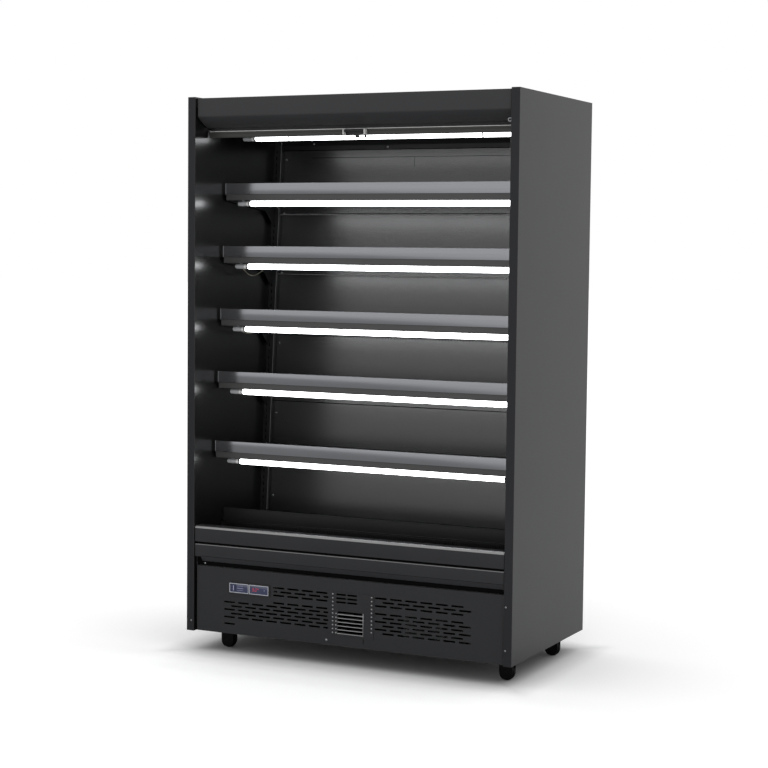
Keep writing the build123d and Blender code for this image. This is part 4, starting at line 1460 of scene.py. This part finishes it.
def makeBlind(s):
    (y0, y1), (z0, z1) = s["barY"], s["barZ"]
    outline = bendPath(
        [
            (y1 - 5, z1), (y0, z1), (y0, z0 + 15), (y0 + 1, z0 + 14.4), (y0 + 1, z0 + 12.6), (y0, z0 + 12),
            (y0, z0), (y1, z0), (y1, z1), (y1 - 5.1, z1),
        ],
        [2.2, 0.3, 0.3, 0.3, 0.3, 2, 2, 2],
        4,
    )
    bm = bmesh.new()
    outlineRun(bm, outline[:-1], (-s["barHalf"], s["barHalf"]))
    finishPiece("blindBar", bm, ["barMetal"], "blind", ["blind_bar"], bevel=0.2)
    # a pale bead along the bar's rounded upper edge: a painted highlight
    bm = bmesh.new()
    tubeAlong(bm, [Vector((x, y0 + 0.9, z1 - 1.6)) for x in (-s["barHalf"] + 2, s["barHalf"] - 2)], 1.5, 12)
    finishPiece("blindBarBead", bm, ["barEdgePaintedHighlight"], "blind")
    plugs = bmesh.new()
    for x in (-s["barHalf"], s["barHalf"] - 2):
        softBox(plugs, (x, y0 + 0.6, z0 + 0.6), (x + 2, y1 - 0.6, z1 - 0.6), 0.8)
    finishPiece("blindBarPlugs", plugs, ["blackPlastic"], "blind")

    (left, right), out, thick = s["handleX"], s["handleOut"], s["earThick"]
    grip, gripAt = s["gripRadius"], (0, y0 - out + 4.5, z0 + 14)
    handle = bmesh.new()
    softBox(handle, (left + 1, y0 - 3, z0), (right - 1, y0, z1 - 3), 1.0)
    for x in (left, right - thick):
        ear = roundRect((x + thick / 2, y0 - out / 2), (thick, out), 1.3, 5)
        flatPlate(handle, ear, [], fromTop(z0 + 1), 18, 1)
    rod = [(0, left + 1), (grip, left + 1), (grip, right - 1), (0, right - 1)]
    turned(handle, rod, gripAt, "x", 20)
    ribs = s["ribs"]
    for k in range(ribs):  # ribs that the fingers pull on
        x = left + thick + 6 + k * (right - left - 2 * thick - 12) / (ribs - 1)
        ring = [(grip - 0.2, -0.8), (grip + 0.5, -0.4), (grip + 0.5, 0.4), (grip - 0.2, 0.8)]
        turned(handle, [(r, x + reach) for r, reach in ring], gripAt, "x", 16)
    for x0, x1 in s["catches"]:
        softBox(handle, (x0, y0 - 3, z0 - 9), (x1, y0, z0 + 0.5), 0.8)
    coats = ["blackPlastic", "whitePlastic"]
    finishPiece("blindHandle", handle, coats, "blind", ["blind_handle"], bevel=0.5)

    roller = bmesh.new()
    r, reach = s["rollRadius"], s["rollHalf"]
    # the edges of the wound turns show on the roll's ends
    turns = [(0, reach)] + [(r * k / 8, reach + (0.5 if k % 2 else 0)) for k in range(2, 8)]
    turns += [(r - 0.4, reach), (r, reach - 0.6)]
    outline = [(radius, -along) for radius, along in turns] + turns[::-1]
    turned(roller, outline, (0, *s["rollerAt"]), "x", 40)
    for side in (-1, 1):
        hub = [(0, 589.4), (4.6, 589.4), (5, 588.9), (5, 580), (14, 579), (15, 577.5), (15, 571), (0, 571)]
        turned(roller, [(radius, side * along) for radius, along in hub], (0, *s["rollerAt"]), "x", 24, 1)
    finishPiece("blindRoller", roller, ["blindCloth", "zinc"], "roller", ["blind_roller"])

    cloth = bmesh.new()
    columns, rows = 60, 40
    top, foot = s["rollerAt"][1], z1 - 0.2
    grid = []
    for i in range(columns + 1):
        x = -s["clothHalf"] + 2 * s["clothHalf"] * i / columns
        line = []
        for j in range(rows + 1):
            z = foot + (top - foot) * j / rows
            ripple = 0.25 * math.sin(x / 37.0) * math.sin(math.pi * j / rows)
            line.append(cloth.verts.new((x, s["clothY"] + ripple, z)))
        grid.append(line)
    for a, b in zip(grid[:-1], grid[1:]):
        for j in range(rows):
            cloth.faces.new((a[j], b[j], b[j + 1], a[j + 1]))
    bmesh.ops.solidify(cloth, geom=cloth.faces[:], thickness=s["clothThick"])
    piece = finishPiece("blindCloth", cloth, ["blindCloth"], None, ["blind_fabric"])
    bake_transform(piece)


makeBlind(blindSet)
print("night blind done")

# --- casters

casterSet = {
    "wheelRadius": 27,
    "wheelWidth": 22,
    "trail": 28,
    "gap": 26,
    "leg": 2.5,
    "hood": 24,
    "plate": (-18, 52),
    "plateZ": 58,
    "plateThick": 3,
    "legTop": 59.5,
    "pinHole": 6.2,
    "axleHole": 3.8,
}


def makeCaster(corner, at, s):
    x, y = at
    axleX, r = x + s["trail"], s["wheelRadius"]
    half = s["gap"] / 2 + s["leg"]
    fork = bmesh.new()
    crown = [(6.1, 60), (17, 60), (20, 61), (20.6, 62.6), (20, 64.2), (17, 65.2)]
    crown += [(12, 66.4), (6.1, 66.4), (6.1, 60)]
    turned(fork, crown, (x, y, 0), "z", 32)
    left, right = s["plate"]
    plate = roundRect((x + (left + right) / 2, y), (right - left, 2 * half), 2, 5)
    flatPlate(fork, plate, [ringOutline((x, y), s["pinHole"])], fromTop(s["plateZ"]), s["plateThick"])
    hood = s["hood"]
    angles = [-math.pi * k / 24 for k in range(25)]
    arc = [(axleX + hood * math.cos(a), r + hood * math.sin(a)) for a in angles]
    leg = [(axleX - hood, s["legTop"]), (axleX + hood, s["legTop"])] + arc
    for legY in (y - half, y + half - s["leg"]):
        flatPlate(fork, leg, [ringOutline((axleX, r), s["axleHole"])], fromFront(legY), s["leg"])
    axle = [(0, -half - 1.5), (3, -half - 1.5), (4.6, -half - 0.8), (4.6, -half), (3.7, -half)]
    axle += [(3.7, half), (4.6, half), (4.6, half + 0.8), (3, half + 1.5), (0, half + 1.5)]
    turned(fork, axle, (axleX, y, r), "y", 18)
    body, node = f"fork_{corner}", f"caster_fork_{corner}"
    finishPiece(f"casterFork.{corner}", fork, ["casterBlack"], body, [node], bevel=0.5)
    wheel = bmesh.new()
    w = s["wheelWidth"] / 2
    tyre = [
        (4.1, -w - 1), (8.4, -w - 1), (9, -w - 0.4), (9.4, -w + 1.4), (17, -w + 2.2), (19.5, -w + 0.4),
        (22.5, -w), (25, -w + 1.1), (26.5, -w + 3.4), (27, -w + 6.5),
    ]
    outline = tyre + [(radius, -along) for radius, along in tyre[::-1]] + [tyre[0]]
    turned(wheel, outline, (axleX, y, r), "y", 44)
    body, node = f"wheel_{corner}", f"caster_wheel_{corner}"
    finishPiece(f"casterWheel.{corner}", wheel, ["wheelRubber"], body, [node])


for corner, at in corners.items():
    makeCaster(corner, at, casterSet)
print("casters done")

# --- duct panel trims

seamSet = {
    "half": 592,
    "beads": [(1563.2, 2.6), (1338.6, 1.4)],
    "grooves": [(1802.3, 3.4), (1566.8, 2.4), (1113, 2.6), (862, 3.0)],
    "scribe": {"z": 1774, "from": -440, "downX": -14, "downTo": 1737, "wide": 1.3},
    "cove": [(-1.0, 1804.5), (-2.4, 1819), (-24, 1855)],
    "edgeX": 563.8,
    "edgeOut": 13.9,
    "edgeZ": (452, 1852),
}


def coveY(z):
    # how far forward the cove stands at a height
    points = seamSet["cove"]
    for (out0, z0), (out1, z1) in zip(points[:-1], points[1:]):
        if z0 <= z <= z1:
            return ductY(z) + out0 + (out1 - out0) * (z - z0) / (z1 - z0)
    return ductY(z)


def makeDuctTrims(s):
    bm = bmesh.new()
    # the beads' shapes are the folded seam edges; their pale finish, and the pale lines down the uprights'
    # edges, are painted highlights
    for z, radius in s["beads"]:
        outlineRun(bm, halfRound(ductY(z) + 0.3, z, radius), (-s["half"], s["half"]))
    for side in (-1, 1):
        line = [Vector((side * s["edgeX"], ductY(z) - s["edgeOut"], z)) for z in s["edgeZ"]]
        tubeAlong(bm, line, 1.0, 8)
    finishPiece("ductBeads", bm, ["seamPaintedHighlight"])
    # black strips along the seams, a scribed line and two rows of air holes: painted shade
    bm = bmesh.new()
    strips = [((-s["half"], s["half"]), (z - wide / 2, z + wide / 2)) for z, wide in s["grooves"]]
    mark = s["scribe"]
    half = mark["wide"] / 2
    strips.append(((mark["from"], s["half"]), (mark["z"] - half, mark["z"] + half)))
    strips.append(((mark["downX"] - half, mark["downX"] + half), (mark["downTo"], mark["z"] - half)))
    for (x0, x1), (z0, z1) in strips:
        outline = [(x0, z0), (x1, z0), (x1, z1), (x0, z1)]
        flatPlate(bm, outline, [], lambda u, v, w: (u, ductY(v) - 0.25 + w, v), 0.4)
    finishPiece("ductGrooves", bm, ["paintedGapShade"])
    bm = bmesh.new()
    path = bendPath([(ductY(z) + out, z) for out, z in s["cove"]], [4], 4)
    sheetRun(bm, path, -0.9, (-s["half"], s["half"]))
    finishPiece("ductCove", bm, ["deckPaint"])


makeDuctTrims(seamSet)
print("duct trims done")

# --- fixings

screwSet = {
    "radius": 4.3,
    "side": [(-607, -343, 106), (602, -343, 267), (602, -343, 122)],
    "duct": [(side * 548, z) for side in (-1, 1) for z in (1768, 1566, 1343, 1080, 816, 505)]
    + [(-429, 1826), (429, 1826), (-125, 1811)],
    "front": [(-66, -335, 89), (-561, -325, 313)],
    "eyelet": (573, -299.5, 1860),
    "eyeletRing": (5.6, 2.4, 1.6),
}


def screwShape(r):
    bm = bmesh.new()
    outline = [(0, 0.7), (0.9, 1.1), (1.1, 2.1), (2.1, 1.9), (3.0, 1.4), (r, 0.5), (r, 0)]
    turned(bm, outline, (0, 0, 0), "z", 14)
    return shapeObject(bm, "screwShape")


def makeScrews(s):
    head = screwShape(s["radius"])
    slope = Vector((0, -1, ductLean)).normalized()
    groups = [
        (s["side"] + s["front"], (0, -1, 0), 3),
        ([(x, coveY(z), z) for x, z in s["duct"]], tuple(slope), 7),
    ]
    meshes = [
        runTree(
            headsOnPoints,
            {"Head": head, "Facing": facing, "Turn Seed": seed, "Finish": finishes["zinc"]},
            points,
        )
        for points, facing, seed in groups
    ]
    bpy.data.objects.remove(head)
    bm = joinMeshes(meshes)
    middle, out, up = s["eyeletRing"]
    angles = [2 * math.pi * k / 12 for k in range(13)]
    ring = [(middle + out * math.cos(a), up * math.sin(a)) for a in angles]
    turned(bm, ring, s["eyelet"], "y", 24)
    finishPiece("fixings", bm, ["zinc"], replaced=["cabinet_screws"])


makeScrews(screwSet)
print("fixings done")

# --- coils

# the coats are the fins' and the pipes'
coilSet = {
    "condenserCoil": {
        "node": "condenser_coil",
        "half": 175,
        "y": (-305, -255),
        "z": (88, 288),
        "rows": 8,
        "pitch": 3.2,
        "coats": ["chassisBlack", "chassisBlack"],
    },
    "evaporatorCoil": {
        "node": "evaporator_coil",
        "half": 520,
        "y": (-50, 70),
        "z": (352, 438),
        "rows": 4,
        "pitch": 5.0,
        "coats": ["tubGrey", "chassisBlack"],
    },
}


pipeSet = {"radius": 4.2, "sides": 8, "inset": 8, "plate": 3, "bend": 12}


def makeCoil(name, s, pipe):
    (y0, y1), (z0, z1) = s["y"], s["z"]
    fin = bmesh.new()
    zig = [y0 + (y1 - y0) * k / 6 for k in range(7)]
    path = [Vector((y, 0.35 * (1 if k % 2 else -1))) for k, y in enumerate(zig)]
    lower = [fin.verts.new((p.y, p.x, z0)) for p in path]
    upper = [fin.verts.new((p.y, p.x, z1)) for p in path]
    for k in range(6):
        fin.faces.new((lower[k], lower[k + 1], upper[k + 1], upper[k]))
    bmesh.ops.solidify(fin, geom=fin.faces[:], thickness=0.4)
    shape = shapeObject(fin, "finShape")
    count = int(2 * s["half"] / s["pitch"])
    pitch = 2 * s["half"] / count
    fins = runTree(
        shapeAlongLine,
        {
            "Shape": shape,
            "Count": count,
            "Start": ((-s["half"] + pitch / 2) * mm, 0, 0),
            "Step": (pitch * mm, 0, 0),
            "Finish": finishes[s["coats"][0]],
        },
    )
    bpy.data.objects.remove(shape)
    bm = joinMeshes([fins])
    step = (z1 - z0) / s["rows"]
    inset, plate = pipe["inset"], pipe["plate"]
    reach = (y1 - y0) / 2 - inset
    for side in (-1, 1):
        x = side * s["half"]
        plateX = sorted((x, x + side * plate))
        softBox(bm, (plateX[0], y0 - 4, z0 - 3), (plateX[1], y1 + 4, z1 + 3), 0.8)
    for k in range(s["rows"]):
        z = z0 + (k + 0.5) * step
        for y in (y0 + inset, y1 - inset):
            run = [Vector((-s["half"] - plate, y, z)), Vector((s["half"] + plate, y, z))]
            tubeAlong(bm, run, pipe["radius"], pipe["sides"], 1)
        for side in (-1, 1):
            bend = []
            for j in range(9):
                a = math.pi * j / 8
                out = side * (s["half"] + plate + min(pipe["bend"], reach) * math.sin(a))
                bend.append(Vector((out, (y0 + y1) / 2 - reach * math.cos(a), z)))
            tubeAlong(bm, bend, pipe["radius"], pipe["sides"], 1)
    finishPiece(name, bm, s["coats"], replaced=[s["node"]])


for name, s in coilSet.items():
    makeCoil(name, s, pipeSet)
print("coils done")

# --- finishes of the nodes that stay as they are

nodeFinish = {
    "left_side_panel": "panelPaint",
    "right_side_panel": "panelPaint",
    "rear_wall": "panelPaint",
    "roof_panel": "panelPaint",
    "well_tub": "tubGrey",
    "ceiling_panel": "shelfPaint",
    "air_honeycomb": "blackPlastic",
    "back_duct_panel": "ductPaint",
    "shelf_uprights": "shelfPaint",
    "base_chassis": "chassisBlack",
    "return_air_grille": "deckPaint",
    "lower_front_panel": "frontPaint",
    "rear_grille": "frontPaint",
    "mains_gland": "blackPlastic",
    "shelf_brackets": "shelfPaint",
    "lamp_leads_clipped": "leadSheath",
    "caster_plates": "chassisBlack",
    "compressor": "compressorBlack",
    "fan_shrouds": "casterBlack",
    "condenser_fan": "blackPlastic",
    "evaporator_fan_1": "blackPlastic",
    "evaporator_fan_2": "blackPlastic",
    "refrigerant_pipes": "chassisBlack",
    "control_key_1": "keyPlastic",
    "control_key_2": "keyPlastic",
    "control_key_3": "keyPlastic",
    "control_key_4": "keyPlastic",
}
for name, coat in nodeFinish.items():
    node = nodes[name]
    if not node.material_slots:
        node.data.materials.append(finishes[coat])
    for holder in node.material_slots:
        holder.material = finishes[coat]
print("nodes finished:", len(nodeFinish))

# --- studio

studioSet = {
    "reach": 60,
    "floor": 0.93,
    "floorSeen": 1.15,
    # the floor in front of the cabinet is darker to reflections only: painted shade in reflections
    "floorReflectedShade": 0.43,
    "mirrorEdge": (0.91, 1.71),
    "mirrorSlope": 0.57,
    "mirrorFront": (0.2, -0.6),
    # a painted shadow under the cabinet's footprint
    "footprint": (0.625, 0.345),
    "under": 0.4,
    "paintedShadowFade": (-0.08, 0.1),
    "sky": (1.0, 1.0, 1.0),
    "skyStrength": 1.0,
}


def makeStudio(s):
    mesh = bpy.data.meshes.new("studioFloor")
    r = s["reach"]
    mesh.from_pydata([(-r, -r, 0), (r, -r, 0), (r, r, 0), (-r, r, 0)], [], [(0, 1, 2, 3)])
    floor = bpy.data.objects.new("studioFloor", mesh)
    bpy.context.scene.collection.objects.link(floor)
    paint = bpy.data.materials.new("floorPaint")
    paint.use_nodes = True
    tree = paint.node_tree
    shader = next(n for n in tree.nodes if n.type == "BSDF_PRINCIPLED")
    shader.inputs["Roughness"].default_value = 0.9
    shader.inputs["Specular IOR Level"].default_value = 0.0
    rays = addNode(tree, "ShaderNodeLightPath").outputs
    place = addNode(tree, "ShaderNodeTexCoord").outputs["Object"]
    spot = addNode(tree, "ShaderNodeSeparateXYZ", {0: place}).outputs
    # reflections see the floor darker in front of the cabinet, fading out towards the right: painted shade
    # seen only in reflections
    across = maths(tree, "SUBTRACT", spot["X"], maths(tree, "MULTIPLY", spot["Y"], s["mirrorSlope"]))
    low, high = s["mirrorEdge"]
    fade = addNode(
        tree,
        "ShaderNodeMapRange",
        {"Value": across, "From Min": low, "From Max": high, "To Min": 1.0, "To Max": 0.0},
    ).outputs[0]
    front = addNode(
        tree,
        "ShaderNodeMapRange",
        {"Value": spot["Y"], "From Min": s["mirrorFront"][0], "From Max": s["mirrorFront"][1]},
    ).outputs[0]
    fade = maths(tree, "MULTIPLY", fade, front)
    near, seen, reflectedShade = ((v, v, v, 1) for v in (s["floor"], s["floorSeen"], s["floorReflectedShade"]))
    glossy = blendColour(tree, maths(tree, "MULTIPLY", fade, rays["Is Glossy Ray"]), near, reflectedShade)
    colour = blendColour(tree, rays["Is Camera Ray"], glossy, seen)
    # a painted shadow: the floor's colour is darker right under the cabinet, with a soft edge
    beyond = [
        maths(tree, "SUBTRACT", maths(tree, "ABSOLUTE", spot[axis]), reach)
        for axis, reach in zip("XY", s["footprint"])
    ]
    outside = maths(tree, "MAXIMUM", *beyond)
    low, high = s["paintedShadowFade"]
    under = addNode(
        tree,
        "ShaderNodeMapRange",
        {"Value": outside, "From Min": low, "From Max": high, "To Min": s["under"], "To Max": 1.0},
    ).outputs[0]
    withPaintedShadow = addNode(tree, "ShaderNodeVectorMath", {0: colour, "Scale": under}, operation="SCALE").outputs[0]
    tree.links.new(withPaintedShadow, shader.inputs["Base Color"])
    mesh.materials.append(paint)
    world = bpy.data.worlds.new("studioSky")
    world.use_nodes = True
    sky = world.node_tree.nodes["Background"]
    sky.inputs["Color"].default_value = (*s["sky"], 1)
    sky.inputs["Strength"].default_value = s["skyStrength"]
    bpy.context.scene.world = world
    bpy.context.scene.view_settings.view_transform = "Standard"


makeStudio(studioSet)
print("studio ready")
